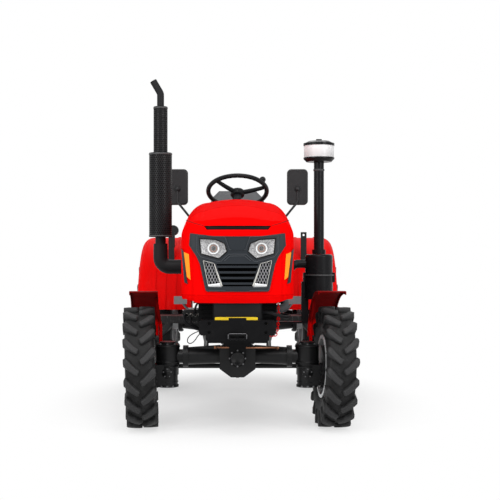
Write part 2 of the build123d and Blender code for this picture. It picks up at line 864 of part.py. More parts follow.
def front_axle():
    """Cast beam: middle case with its drain, tapered tubes with ribs, flanges and gear cases."""
    half = [(0, DIFF_LOW), (DIFF_LOW_HALF, DIFF_LOW), (DIFF_HALF, DIFF_SHOULDER_Z),
            (DIFF_HALF, DIFF_CHEEK_Z), (DIFF_TOP_HALF, DIFF_TOP), (0, DIFF_TOP)]
    body = front_shape(both_halves(half), -DIFF_DEEP, DIFF_DEEP)
    body = body + upright(0, 0, DRAIN_LOW, DIFF_LOW + 1, DRAIN_R)
    body = body + along(0, -PIVOT_S + PIVOT_SIDE, PIVOT_S - PIVOT_SIDE, AXLE_Z, PIVOT_BOSS_R - 8)
    for side in (-1, 1):
        tube_end = side * AXLE_FLANGE_X
        body = body + bar((side * (DIFF_HALF - 4), 0, AXLE_Z), (tube_end, 0, AXLE_Z), AXLE_NECK_R,
                          AXLE_TUBE_R)
        rib = [(DIFF_HALF - 4, AXLE_Z), (DIFF_HALF - 4, AXLE_Z + AXLE_RIB_TALL),
               (AXLE_FLANGE_X, AXLE_Z + AXLE_TUBE_R + 4), (AXLE_FLANGE_X, AXLE_Z)]
        body = body + front_shape(on_side(rib, side), -AXLE_RIB / 2, AXLE_RIB / 2)
        body = body + across(tube_end - side, tube_end + side * AXLE_FLANGE_THICK, 0, AXLE_Z, AXLE_FLANGE_R)
        body = body + across(tube_end, side * KINGPIN_X, 0, AXLE_Z, AXLE_NECK_R)
        body = body + upright(side * KINGPIN_X, 0, GEAR_CASE_LOW, GEAR_CASE_TOP, GEAR_CASE_R)
        body = body + upright(side * KINGPIN_X, 0, GEAR_CASE_TOP - 1, GEAR_CASE_TOP + GEAR_CAP_TALL,
                              GEAR_CAP_R)
        body = body - upright(side * KINGPIN_X, 0, GEAR_CASE_LOW - 1, GEAR_CASE_LOW + KINGPIN_DEEP + 3,
                              KINGPIN_R + RUN_FIT)
    reach = PIVOT_S + PIVOT_THICK
    return body + along(0, -reach - PIVOT_NOSE, reach, AXLE_Z, PIVOT_PIN_R)


def knuckle():
    """Left knuckle straight ahead: kingpin, final-drive drum bolted round its lower half, and steering arm."""
    column_top = GEAR_CASE_LOW - FACE_GAP
    body = upright(KINGPIN_X, 0, KNUCKLE_LOW, column_top, KNUCKLE_R)
    body = body + block(KINGPIN_X, DRUM_IN_X + 6, -WEB_HALF, WEB_HALF, WEB_LOW, column_top)
    body = body + upright(KINGPIN_X, 0, column_top - 1, GEAR_CASE_LOW + KINGPIN_DEEP, KINGPIN_R)
    face = FRONT_DISC_X - DISC_THICK / 2 - FACE_GAP
    start = DRUM_IN_X - FRONT_X
    drum = axle_bar(start, face - 8, DRUM_R) + axle_bar(start, face, STUB_R + STUB_BOSS)
    for i in range(DRUM_BOLTS):
        bolt = Pos(0, 0, DRUM_BOLT_PCD / 2) * axle_bar(start - DRUM_BOLT_TALL, start + 1, DRUM_BOLT_R)
        drum = drum + Rot(90 + (i + 0.5) * 180 / DRUM_BOLTS, 0, 0) * bolt
    bore = axle_bar(face - STUB_LENGTH - 4, face + CUT_PAST, STUB_R + RUN_FIT)
    body = body + front_place() * drum - front_place() * bore
    low = TIE_ROD_Z - TIE_END_HALF - PIVOT_SIDE - STEER_ARM_THICK
    tip = STEER_ARM + STEER_PIN_R + 6
    arm = plan_shape([(KINGPIN_X - STEER_ARM_ROOT, 20), (KINGPIN_X + STEER_ARM_ROOT, 20),
                      (KINGPIN_X + STEER_ARM_TIP, tip), (KINGPIN_X - STEER_ARM_TIP, tip)],
                     low, low + STEER_ARM_THICK)
    pin = upright(KINGPIN_X, STEER_ARM, low + 1, TIE_ROD_Z + TIE_END_HALF, STEER_PIN_R)
    return body + arm + pin


def mudguard():
    """Left front mudguard: a curved strip with turned-down edges on one bent rod."""
    r0 = MUDGUARD_R
    r1 = MUDGUARD_R + MUDGUARD_SHEET
    low = r0 - MUDGUARD_LIP
    x0 = MUDGUARD_IN
    x1 = MUDGUARD_OUT
    t = MUDGUARD_SHEET
    outline = [(x0, low), (x0 + t, low), (x0 + t, r0), (x1 - t, r0), (x1 - t, low), (x1, low), (x1, r1),
               (x0, r1)]
    face = Plane.XZ * make_face(Polyline(*outline, close=True))
    strip = revolve(face, axis=Axis.X, revolution_arc=MUDGUARD_TO - MUDGUARD_FROM)
    strip = Pos(FRONT_X, ys(0), FRONT_HUB_Z) * Rot(-MUDGUARD_TO, 0, 0) * strip
    x = KINGPIN_X + MUDGUARD_ROD_IN
    rod = bent([(x, WEB_HALF + FACE_GAP, MUDGUARD_ROD_LOW), (x, MUDGUARD_ROD_S, MUDGUARD_ROD_LOW),
                (x, (MUDGUARD_ROD_S + MUDGUARD_ROD_TOP_S) / 2, MUDGUARD_ROD_KNEE),
                (FRONT_X + MUDGUARD_IN + MUDGUARD_ROD_R + 3, MUDGUARD_ROD_TOP_S, MUDGUARD_ROD_TOP)],
               MUDGUARD_ROD_BEND, MUDGUARD_ROD_R)
    return strip + rod


def tie_rod():
    """Bar between the two steering pins, parked at the resting steer."""
    turn = radians(REST_STEER_DEG)
    shift = -STEER_ARM * sin(turn)
    back = STEER_ARM * cos(turn)
    body = across(shift - KINGPIN_X, shift + KINGPIN_X, back, TIE_ROD_Z, TIE_ROD_R)
    for side in (-1, 1):
        x = shift + side * KINGPIN_X
        body = body + upright(x, back, TIE_ROD_Z - TIE_END_HALF, TIE_ROD_Z + TIE_END_HALF, TIE_END_R)
        body = body - upright(x, back, TIE_ROD_Z - TIE_END_HALF - CUT_PAST,
                              TIE_ROD_Z + TIE_END_HALF + CUT_PAST, STEER_PIN_R + RUN_FIT)
    return body


# Front support, plate, battery and radiator

def front_support():
    """Frame that carries plate, battery and radiator, hangs the axle and runs back as two rails."""
    body = block(-SUPPORT_HALF, SUPPORT_HALF, FRONT_END_S + PLATE_THICK + FACE_GAP, SUPPORT_END,
                 SUPPORT_LOW, SUPPORT_TOP)
    body = body + block(-KEEL_HALF, KEEL_HALF, KEEL_S, KEEL_END, KEEL_LOW, SUPPORT_LOW + 4)
    for front in (-PIVOT_S - PIVOT_THICK, PIVOT_S):
        hanger = block(-HANGER_HALF, HANGER_HALF, front, front + PIVOT_THICK, AXLE_Z, KEEL_LOW + 10)
        body = body + hanger + along(0, front, front + PIVOT_THICK, AXLE_Z, PIVOT_BOSS_R)
    reach = PIVOT_S + PIVOT_THICK + CUT_PAST
    body = body - along(0, -reach, reach, AXLE_Z, PIVOT_PIN_R + RUN_FIT)
    for side in (-1, 1):
        body = body + block(side * RAIL_X, side * (RAIL_X + RAIL_WIDE), RAIL_S, ENGINE_END + RAIL_PAST,
                            RAIL_LOW, RAIL_LOW + RAIL_TALL)
    return body


def front_plate():
    """Stepped weight plate with its bolt holes, a tow clevis and a carrying hook."""
    c = PLATE_CORNER
    half = [(0, PLATE_LOW), (PLATE_LOW_HALF - c, PLATE_LOW), (PLATE_LOW_HALF, PLATE_LOW + c),
            (PLATE_LOW_HALF, PLATE_STEP), (PLATE_HALF - c, PLATE_STEP), (PLATE_HALF, PLATE_STEP + c),
            (PLATE_HALF, PLATE_TOP - c), (PLATE_HALF - c, PLATE_TOP), (0, PLATE_TOP)]
    back = FRONT_END_S + PLATE_THICK
    plate = front_shape(both_halves(half), FRONT_END_S, back)
    for x in (-PLATE_HOLE_X, PLATE_HOLE_X):
        for z in (PLATE_HOLE_LOW, PLATE_HOLE_HIGH):
            plate = plate - along(x, FRONT_END_S - CUT_PAST, back + CUT_PAST, z, PLATE_HOLE_R)
    nose = FRONT_END_S - TOW_PROUD
    tow = block(-TOW_HALF, TOW_HALF, nose, FRONT_END_S + 1, TOW_LOW, TOW_TOP)
    tow = tow - block(-TOW_HALF + TOW_WALL, TOW_HALF - TOW_WALL, nose - CUT_PAST, FRONT_END_S - TOW_WALL,
                      TOW_LOW + TOW_WALL, TOW_TOP - TOW_WALL)
    middle = (nose + FRONT_END_S) / 2 - TOW_WALL / 2
    tow = tow - upright(0, middle, TOW_LOW - CUT_PAST, TOW_TOP + CUT_PAST, TOW_PIN_R)
    hook = block(-TOW_HALF, TOW_HALF, FRONT_END_S, back, PLATE_TOP - 1, PLATE_TOP + HOOK_TALL)
    return plate + tow + hook


def battery():
    """Battery with a lipped lid, two posts and the strap that holds it down."""
    z0 = SUPPORT_TOP + FACE_GAP
    top = z0 + BATTERY_TALL
    end = BATTERY_S + BATTERY_DEEP
    body = block(-BATTERY_HALF, BATTERY_HALF, BATTERY_S, end, z0, top)
    body = body + block(-BATTERY_HALF - BATTERY_LIP, BATTERY_HALF + BATTERY_LIP, BATTERY_S - BATTERY_LIP,
                        end + BATTERY_LIP, top - BATTERY_LID, top)
    for x in (-BATTERY_HALF + BATTERY_POST_IN, BATTERY_HALF - BATTERY_POST_IN):
        body = body + upright(x, BATTERY_S + BATTERY_POST_IN, top - 1, top + BATTERY_POST_TALL,
                              BATTERY_POST_R)
    out = BATTERY_HALF + BATTERY_LIP + STRAP_THICK
    mid = (BATTERY_S + end) / 2
    strap = block(-out, out, mid - STRAP_WIDE / 2, mid + STRAP_WIDE / 2, z0, top + STRAP_THICK)
    return body + strap


def radiator():
    """Finned core between side plates, with a top tank, filler neck and fan shroud."""
    z0 = SUPPORT_TOP + FACE_GAP
    end = RADIATOR_S + RADIATOR_DEEP
    body = block(-RADIATOR_HALF, RADIATOR_HALF, RADIATOR_S, end, z0, RADIATOR_TOP)
    inside = RADIATOR_HALF - RADIATOR_SIDE
    pitch = (RADIATOR_TANK_LOW - z0) / (RADIATOR_FINS + 1)
    for i in range(RADIATOR_FINS):
        z = z0 + (i + 1) * pitch
        body = body - block(-inside, inside, RADIATOR_S - CUT_PAST, RADIATOR_S + RADIATOR_FIN,
                            z - pitch / 4, z + pitch / 4)
    tank = block(-inside, inside, RADIATOR_S - RADIATOR_FIN, end + RADIATOR_FIN,
                 RADIATOR_TANK_LOW, RADIATOR_TOP + RADIATOR_TANK_OVER)
    tank = fillet(tank.edges().filter_by(Axis.X).group_by(Axis.Z)[-1], RADIATOR_TANK_OVER * 0.8)
    neck_s = (RADIATOR_S + end) / 2
    neck_low = RADIATOR_TOP + RADIATOR_TANK_OVER - 2
    neck = upright(FILLER_X, neck_s, neck_low, neck_low + FILLER_TALL, FILLER_R)
    shroud = along(0, end - 1, end + SHROUD_DEEP, FAN_Z, SHROUD_R)
    shroud = shroud - along(0, end + SHROUD_WALL / 2, end + SHROUD_DEEP + CUT_PAST, FAN_Z,
                            SHROUD_R - SHROUD_WALL)
    return body + tank + neck + shroud


def radiator_hose():
    """Lower water hose: out of the radiator's side, back and up, and in to the block between two ribs."""
    mid_s = RADIATOR_S + RADIATOR_DEEP / 2
    end_s = ENGINE_S + (ENGINE_END - ENGINE_S) / BLOCK_RIBS
    return bent([(RADIATOR_HALF + FACE_GAP, mid_s, HOSE_LOW), (HOSE_X, mid_s, HOSE_LOW),
                 (HOSE_X, end_s, HOSE_TOP), (ENGINE_HALF + FACE_GAP, end_s, HOSE_TOP)], HOSE_BEND, HOSE_R)


# Engine and driveline

def belt_loop(grow, s0, s1):
    """Solid inside the belt's path round the three pulleys, grown outward."""
    wheels = ((0, CRANK_Z, CRANK_PULLEY_R), (ALTERNATOR_X, ALTERNATOR_Z, ALTERNATOR_R), (0, FAN_Z, PUMP_R))
    rims = []
    for x, z, r in wheels:
        rims.extend((Pos(x, z) * Circle(r + grow)).edges())
    return extrude(Plane.XZ.offset(-ys(s1)) * make_hull(rims), s1 - s0)


def fan():
    hub = along(0, FAN_S - FAN_BLADE_W / 4, ENGINE_S - PULLEY_AHEAD + 1, FAN_Z, FAN_HUB_R)
    tall = FAN_R - FAN_HUB_R + 6
    for i in range(FAN_BLADES):
        blade = Pos(0, 0, FAN_R - tall / 2) * Rot(0, 0, FAN_PITCH_DEG) * Box(FAN_BLADE_W, FAN_BLADE_THICK,
                                                                             tall)
        hub = hub + Pos(*point(0, FAN_S, FAN_Z)) * Rot(0, i * 360 / FAN_BLADES, 0) * blade
    return hub


def engine_block():
    """Ribbed block on its oil pan, with pulleys, belt and fan in front and starter and filter beside it."""
    body = block(-ENGINE_HALF, ENGINE_HALF, ENGINE_S, ENGINE_END, BLOCK_LOW, BLOCK_TOP)
    body = body + block(-ENGINE_HALF, ENGINE_HALF, ENGINE_END - 1, ENGINE_END + RAIL_PAST, BLOCK_LOW,
                        BELL_TOP)
    pan_half = RAIL_X - PAN_SIDE
    pan = [(PAN_S, BLOCK_LOW + 2), (ENGINE_END, BLOCK_LOW + 2), (ENGINE_END, PAN_LOW + 40),
           (ENGINE_END - 60, PAN_LOW), (PAN_S + 40, PAN_LOW), (PAN_S, PAN_LOW + 30)]
    body = body + side_shape(pan, -pan_half, pan_half)
    step = (ENGINE_END - ENGINE_S) / BLOCK_RIBS
    for i in range(BLOCK_RIBS):
        s = ENGINE_S + (i + 0.5) * step
        out = ENGINE_HALF + BLOCK_RIB
        body = body + block(-out, out, s - BLOCK_RIB / 2, s + BLOCK_RIB / 2, BLOCK_LOW + 20, BLOCK_TOP - 20)
    front = ENGINE_S - PULLEY_AHEAD
    body = body + along(0, front, ENGINE_S + 1, CRANK_Z, CRANK_PULLEY_R)
    body = body + along(ALTERNATOR_X, front, ENGINE_S + 1, ALTERNATOR_Z, ALTERNATOR_R)
    body = body + along(0, front, ENGINE_S + 1, FAN_Z, PUMP_R)
    belt_s = ENGINE_S - BELT_AHEAD
    belt = belt_loop(BELT_THICK, belt_s, belt_s + BELT_WIDE)
    belt = belt - belt_loop(-1, belt_s - CUT_PAST, belt_s + BELT_WIDE + CUT_PAST)
    body = body + belt + fan()
    starter_end = ENGINE_END - BLOCK_RIB
    body = body + along(STARTER_X, starter_end - STARTER_LONG, starter_end, STARTER_Z, STARTER_R)
    filter_s = (ENGINE_S + ENGINE_END) / 2
    body = body + along(FILTER_X, filter_s - FILTER_LONG, filter_s, FILTER_Z, FILTER_R)
    return body + across(FILTER_X, -ENGINE_HALF + 2, filter_s - FILTER_LONG / 2, FILTER_Z, FILTER_R / 2)


def engine_head():
    """Head with a rounded valve cover and a manifold on each side: short ports into one log."""
    z0 = BLOCK_TOP + FACE_GAP
    s0 = ENGINE_S + HEAD_END_INSET
    s1 = ENGINE_END - HEAD_END_INSET
    body = block(-ENGINE_HALF + HEAD_INSET, ENGINE_HALF - HEAD_INSET, s0, s1, z0, HEAD_TOP)
    cover = block(-COVER_HALF, COVER_HALF, s0 + COVER_INSET, s1 - COVER_INSET, HEAD_TOP - 1, COVER_TOP)
    body = body + fillet(cover.edges().group_by(Axis.Z)[-1], COVER_ROUND)
    pitch = (s1 - s0) / PORTS
    for side in (-1, 1):
        log_s0 = s0 + pitch / 2 - PORT_R
        log_s1 = s1 - pitch / 2 + PORT_R
        body = body + along(side * MANIFOLD_X, log_s0, log_s1, MANIFOLD_Z, MANIFOLD_R)
        for i in range(PORTS):
            s = s0 + (i + 0.5) * pitch
            body = body + across(side * (ENGINE_HALF - HEAD_INSET - 2), side * MANIFOLD_X, s, MANIFOLD_Z,
                                 PORT_R)
    f = MANIFOLD_FLANGE
    body = body + block(-MANIFOLD_FACE, -MANIFOLD_X, EXHAUST_S - f, EXHAUST_S + f, MANIFOLD_Z - f,
                        MANIFOLD_Z + f)
    duct_s = AIR_S - AIR_DUCT_AHEAD
    return body + block(MANIFOLD_X, MANIFOLD_FACE, duct_s - f, duct_s + f, MANIFOLD_Z - f, MANIFOLD_Z + f)


def exhaust_pipe():
    """Wide elbow from the manifold, clamp, the stack's core and its bent tip."""
    start = -MANIFOLD_FACE - FACE_GAP
    path = [(start, EXHAUST_S, MANIFOLD_Z), ((start + ELBOW_RISE_X) / 2, EXHAUST_S, MANIFOLD_Z),
            (ELBOW_RISE_X, EXHAUST_S, ELBOW_Z), (EXHAUST_X, EXHAUST_S, ELBOW_Z),
            (EXHAUST_X, EXHAUST_S, ELBOW_TOP)]
    body = bent(path, ELBOW_BEND, ELBOW_R)
    body = body + upright(EXHAUST_X, EXHAUST_S, CLAMP_LOW, CLAMP_TOP, CLAMP_R)
    core_low = GUARD_LOW + GUARD_R / 3
    core_top = GUARD_TOP - GUARD_AIR
    body = body + upright(EXHAUST_X, EXHAUST_S, CLAMP_TOP - 1, core_low + 1, EXHAUST_PIPE_R)
    body = body + upright(EXHAUST_X, EXHAUST_S, core_low, core_top, GUARD_R - GUARD_WALL - GUARD_AIR)
    tip = bent([(EXHAUST_X, EXHAUST_S, core_top - 1), (EXHAUST_X, EXHAUST_S, TIP_KNEE_Z),
                (EXHAUST_X - TIP_OUT, EXHAUST_S, TIP_Z)], TIP_BEND, TIP_R)
    return body + tip


def sleeve(z0, z1, radius):
    """Thin upright tube round the exhaust."""
    tube = upright(EXHAUST_X, EXHAUST_S, z0, z1, radius)
    return tube - upright(EXHAUST_X, EXHAUST_S, z0 - CUT_PAST, z1 + CUT_PAST, radius - GUARD_WALL)


def collar(z0, z1, radius, hole):
    disc = upright(EXHAUST_X, EXHAUST_S, z0, z1, radius)
    return disc - upright(EXHAUST_X, EXHAUST_S, z0 - CUT_PAST, z1 + CUT_PAST, hole + SEAT_FIT)


def muffler_guards():
    """Two heat guards, one on the other, closed by discs round the pipe."""
    t = GUARD_WALL
    body = sleeve(GUARD_LOW, GUARD_TOP, GUARD_R) + sleeve(GUARD_TOP - 1, UPPER_GUARD_TOP, UPPER_GUARD_R)
    body = body + collar(GUARD_LOW, GUARD_LOW + t, GUARD_R - 1, EXHAUST_PIPE_R)
    body = body + collar(GUARD_TOP - t, GUARD_TOP, GUARD_R - 1, TIP_R)
    return body + collar(UPPER_GUARD_TOP - t, UPPER_GUARD_TOP, UPPER_GUARD_R - 1, TIP_R)


def air_cleaner():
    """Upright can with a clipped cup below, its post and the outlet duct to the engine."""
    can = upright(AIR_X, AIR_S, AIR_CAN_LOW + 1, AIR_CAN_TOP, AIR_CAN_R)
    can = fillet(can.edges().group_by(Axis.Z)[-1], AIR_CAN_ROUND)
    lip = AIR_CAN_R + AIR_CUP_LIP
    cup = upright(AIR_X, AIR_S, AIR_CAN_LOW, AIR_CUP_Z - AIR_BAND, AIR_CAN_R + 1)
    band = upright(AIR_X, AIR_S, AIR_CUP_Z - AIR_BAND / 2, AIR_CUP_Z + AIR_BAND / 2, lip)
    for side in (-1, 1):
        x = AIR_X + side * lip
        band = band + block(x - AIR_CLIP / 2, x + AIR_CLIP / 2, AIR_S - AIR_CLIP, AIR_S + AIR_CLIP,
                            AIR_CUP_Z - 3 * AIR_CLIP, AIR_CUP_Z + AIR_CLIP)
    duct_s = AIR_S - AIR_DUCT_AHEAD
    duct = bent([(AIR_X - AIR_CAN_R / 2, AIR_S, AIR_DUCT_Z), (AIR_DUCT_KNEE_X, AIR_S, AIR_DUCT_Z),
                 (AIR_DUCT_LOW_X, duct_s, MANIFOLD_Z), (MANIFOLD_FACE + FACE_GAP, duct_s, MANIFOLD_Z)],
                AIR_DUCT_BEND, AIR_DUCT_R)
    x0 = AIR_X - AIR_POST_IN
    x1 = x0 + AIR_POST_WIDE
    s1 = AIR_S + AIR_POST_WIDE
    foot = block(RAIL_X + RAIL_WIDE + FACE_GAP, x1, AIR_S, s1, AIR_POST_LOW, AIR_POST_LOW + AIR_FOOT)
    post = block(x0, x1, AIR_S, s1, AIR_POST_LOW, AIR_POST_TOP)
    return can + cup + band + duct + foot + post


def intake_stack():
    """Pipe up from the can with a collar, and the precleaner's base, stem, domed cap and wing nut."""
    low = AIR_CAN_TOP + FACE_GAP
    body = upright(AIR_X, AIR_S, low, AIR_PIPE_TOP + 1, AIR_PIPE_R)
    body = body + upright(AIR_X, AIR_S, low, low + AIR_COLLAR_TALL, AIR_PIPE_R + AIR_COLLAR)
    base = upright(AIR_X, AIR_S, AIR_PIPE_TOP, BOWL_LOW, BOWL_R + CAP_OVER)
    base = chamfer(base.edges().group_by(Axis.Z)[0], (BOWL_LOW - AIR_PIPE_TOP) * 0.7)
    body = body + base + upright(AIR_X, AIR_S, BOWL_LOW - 1, BOWL_TOP + 1, BOWL_STEM_R)
    cap = upright(AIR_X, AIR_S, BOWL_TOP, BOWL_TOP + CAP_TALL, BOWL_R + CAP_OVER)
    dome_low = BOWL_TOP + CAP_TALL
    dome = bar((AIR_X, AIR_S, dome_low - 1), (AIR_X, AIR_S, dome_low + DOME_TALL), BOWL_R, BOWL_R - DOME_IN)
    nut_low = dome_low + DOME_TALL - 1
    nut = block(AIR_X - NUT_HALF, AIR_X + NUT_HALF, AIR_S - NUT_THICK / 2, AIR_S + NUT_THICK / 2,
                nut_low, nut_low + NUT_TALL)
    return body + cap + dome + nut


def precleaner_bowl():
    z0 = BOWL_LOW + SEAT_FIT
    z1 = BOWL_TOP - SEAT_FIT
    outer = upright(AIR_X, AIR_S, z0, z1, BOWL_R)
    return outer - upright(AIR_X, AIR_S, z0 - CUT_PAST, z1 + CUT_PAST, BOWL_R - BOWL_WALL)


def gearbox_case():
    """Bell housing tapering to the gearbox, with ribs round its underside."""
    s0 = ENGINE_END + RAIL_PAST + FACE_GAP
    s1 = s0 + BELL_FLANGE
    c = GEARBOX_CORNER
    body = front_shape(octagon(BELL_HALF, BELL_LOW, BELL_TOP, c), s0, s1)
    inset = (BELL_HALF - GEARBOX_HALF) / 2
    mouth = octagon(BELL_HALF - inset, BELL_LOW + inset, BELL_TOP - inset, c)
    throat = octagon(GEARBOX_HALF, GEARBOX_LOW, GEARBOX_TOP, c)
    body = body + loft([front_face(mouth, s1 - 1), front_face(throat, CLUTCH_END)], ruled=True)
    body = body + front_shape(throat, CLUTCH_END - 1, GEARBOX_END)
    proud = GEARBOX_RIB_PROUD
    rib = octagon(GEARBOX_HALF + proud, GEARBOX_LOW - proud, GEARBOX_LOW + 3 * c, c)
    step = (GEARBOX_END - CLUTCH_END) / (GEARBOX_RIBS + 1)
    for i in range(GEARBOX_RIBS):
        s = CLUTCH_END + (i + 1) * step
        body = body + front_shape(rib, s - GEARBOX_RIB / 2, s + GEARBOX_RIB / 2)
    return body


def rear_axle_housing():
    """Rear case with brake drums, tapered trumpets, lower-link pins, top-link clevis and PTO collar."""
    s0 = GEARBOX_END + FACE_GAP
    case = octagon(REAR_CASE_HALF, REAR_CASE_LOW, REAR_CASE_TOP, REAR_CASE_CORNER)
    body = front_shape(case, s0, REAR_CASE_END)
    body = body + across(-BRAKE_X, BRAKE_X, WHEELBASE, REAR_HUB_Z, BRAKE_R)
    for side in (-1, 1):
        end = side * TRUMPET_END_X
        neck = end - side * TRUMPET_FLANGE
        body = body + bar((side * (BRAKE_X - 1), WHEELBASE, REAR_HUB_Z), (neck, WHEELBASE, REAR_HUB_Z),
                          TRUMPET_R, TRUMPET_NECK_R)
        body = body + across(neck - side, end, WHEELBASE, REAR_HUB_Z, TRUMPET_FLANGE_R)
        body = body - across(end + side * CUT_PAST, end - side * (STUB_LENGTH + CUT_PAST), WHEELBASE,
                             REAR_HUB_Z,
                             STUB_R + RUN_FIT)
        root = side * (REAR_CASE_HALF - 10)
        inner = LINK_X - LINK_WIDE / 2
        body = body + across(root, side * (inner + LINK_WIDE + LINK_PIN_PAST), LINK_S, LINK_Z, LINK_PIN_R)
        body = body + across(root, side * (inner - PIVOT_SIDE), LINK_S, LINK_Z, LINK_BOSS_R)
    back = TOP_LINK_S + CLEVIS_OVER
    clevis = block(-CLEVIS_HALF, CLEVIS_HALF, REAR_CASE_END - 1, back, TOP_LINK_Z - CLEVIS_LOW,
                   TOP_LINK_Z - CLEVIS_SEAT)
    for side in (-1, 1):
        clevis = clevis + block(side * CLEVIS_GAP_HALF, side * CLEVIS_HALF, REAR_CASE_END - 1, back,
                                TOP_LINK_Z - CLEVIS_SEAT - 1, TOP_LINK_Z + CLEVIS_OVER)
    clevis = clevis + across(-CLEVIS_HALF, CLEVIS_HALF, TOP_LINK_S, TOP_LINK_Z, TOP_LINK_PIN_R)
    cup = along(0, REAR_CASE_END - 1, REAR_CASE_END + PTO_COLLAR, PTO_Z, PTO_COLLAR_R)
    cup = cup - along(0, REAR_CASE_END, REAR_CASE_END + PTO_COLLAR + CUT_PAST, PTO_Z,
                      PTO_COLLAR_R - PTO_COLLAR_WALL)
    return body + clevis + cup


def lift_housing():
    """Hydraulic lift cover on the rear case: sloped tail, cut corners and a boss for the rockshaft."""
    z0 = REAR_CASE_TOP + FACE_GAP
    s0 = WHEELBASE + LIFT_FRONT
    s1 = REAR_CASE_END - LIFT_END_IN
    side = side_shape([(s0, z0), (s0, LIFT_TOP), (s1 - LIFT_SLOPE, LIFT_TOP), (s1, LIFT_END_Z), (s1, z0)],
                      -LIFT_HALF, LIFT_HALF)
    c = LIFT_CORNER
    front = both_halves([(0, z0), (LIFT_HALF, z0), (LIFT_HALF, LIFT_TOP - c), (LIFT_HALF - c, LIFT_TOP),
                         (0, LIFT_TOP)])
    body = side & front_shape(front, s0 - CUT_PAST, s1 + CUT_PAST)
    body = body + across(-LIFT_BOSS_X, LIFT_BOSS_X, LIFT_S, LIFT_Z, LIFT_BOSS_R)
    reach = LIFT_BOSS_X + CUT_PAST
    return body - across(-reach, reach, LIFT_S, LIFT_Z, LIFT_SHAFT_R + RUN_FIT)


def pto_shaft():
    """Splined power take-off shaft."""
    s0 = REAR_CASE_END + FACE_GAP
    s1 = REAR_CASE_END + PTO_LENGTH
    body = along(0, s0, s1, PTO_Z, PTO_R)
    for i in range(PTO_SPLINES):
        groove = Pos(0, 0, PTO_R) * Box(PTO_SPLINE_W, PTO_LENGTH, 2 * PTO_SPLINE_DEEP)
        place = Pos(*point(0, s0 + PTO_COLLAR + PTO_LENGTH / 2, PTO_Z))
        body = body - place * Rot(0, (i + 0.5) * 360 / PTO_SPLINES, 0) * groove
    return body


def drawbar():
    """Flat bar under the rear case on two hangers, with a pin hole at its end."""
    s0 = WHEELBASE + DRAWBAR_FRONT
    body = block(-DRAWBAR_HALF, DRAWBAR_HALF, s0, DRAWBAR_END, DRAWBAR_Z - DRAWBAR_THICK, DRAWBAR_Z)
    for s in (s0, WHEELBASE + HANGER_BACK):
        body = body + block(-DRAWBAR_SEAT_HALF, DRAWBAR_SEAT_HALF, s, s + HANGER_LONG, DRAWBAR_Z - 1,
                            REAR_CASE_LOW - FACE_GAP)
    return body - upright(0, DRAWBAR_END - DRAWBAR_HOLE_IN, DRAWBAR_Z - DRAWBAR_THICK - CUT_PAST,
                          DRAWBAR_Z + CUT_PAST, DRAWBAR_HOLE_R)


# Hood, nose mask and lamps

def hood_section(s, z_side, z_edge, z_crown, inset):
    """One arch of the hood across the tractor: upright sides, rounded shoulders and a crowned top."""
    half = HOOD_HALF - inset
    edge = HOOD_EDGE_X
    low = HOOD_LOW - HOOD_NOSE_REACH
    side_z = z_side - inset * 0.4
    edge_z = z_edge - inset
    crown_z = z_crown - inset
    mid_x = edge + (half - edge) * 0.74
    mid_z = side_z + (edge_z - side_z) * 0.70
    wire = [Line((-half, low), (-half, side_z)),
            ThreePointArc((-half, side_z), (-mid_x, mid_z), (-edge, edge_z)),
            ThreePointArc((-edge, edge_z), (0, crown_z), (edge, edge_z)),
            ThreePointArc((edge, edge_z), (mid_x, mid_z), (half, side_z)),
            Line((half, side_z), (half, low)), Line((half, low), (-half, low))]
    return Plane.XZ.offset(-ys(s)) * make_face(wire)


def hood_arch(inset):
    rows = [(HOOD_NOSE_S - HOOD_NOSE_REACH, HOOD_NOSE_SIDE_Z, HOOD_NOSE_EDGE_Z, HOOD_NOSE_CROWN_Z),
            (HOOD_FRONT_S, HOOD_FRONT_SIDE_Z, HOOD_FRONT_EDGE_Z, HOOD_FRONT_CROWN_Z),
            (HOOD_MID_S, HOOD_MID_SIDE_Z, HOOD_MID_EDGE_Z, HOOD_MID_CROWN_Z),
            (HOOD_REAR_S, HOOD_REAR_SIDE_Z, HOOD_REAR_EDGE_Z, HOOD_REAR_CROWN_Z)]
    return loft([hood_section(s, a, b, c, inset) for s, a, b, c in rows])


def nose_face(grow, z):
    """Plan of the nose at a height: a bowed front with rounded corners, grown or shrunk."""
    half = HOOD_HALF + 2 + grow
    tip = ys(HOOD_NOSE_S - grow)
    corner = (NOSE_CORNER_X + 0.6 * grow, ys(HOOD_NOSE_S + NOSE_CORNER_BACK - 0.9 * grow))
    cheek = (half - NOSE_CHEEK_IN - 0.1 * grow, ys(HOOD_NOSE_S + NOSE_CHEEK_BACK - 0.5 * grow))
    side = ys(HOOD_NOSE_S + NOSE_SIDE_BACK)
    rear = ys(HOOD_REAR_S + HOOD_NOSE_REACH)
    wire = [Line((-half, rear), (-half, side)),
            ThreePointArc((-half, side), (-cheek[0], cheek[1]), (-corner[0], corner[1])),
            ThreePointArc((-corner[0], corner[1]), (0, tip), corner),
            ThreePointArc(corner, cheek, (half, side)),
            Line((half, side), (half, rear)), Line((half, rear), (-half, rear))]
    return Plane.XY.offset(z) * make_face(wire)


def nose_prism(grow):
    """The nose's plan pushed up its whole height."""
    low = HOOD_LOW - HOOD_NOSE_REACH
    return extrude(nose_face(grow, low), HOOD_REAR_CROWN_Z + HOOD_NOSE_REACH - low)


def nose_body(grow):
    """The nose with its foot leaning in below the crease."""
    low = HOOD_LOW - HOOD_NOSE_REACH
    upper = extrude(nose_face(grow, CREASE_Z), HOOD_REAR_CROWN_Z + HOOD_NOSE_REACH - CREASE_Z)
    return upper + loft([nose_face(grow - VALANCE_LEAN, low), nose_face(grow, CREASE_Z)], ruled=True)


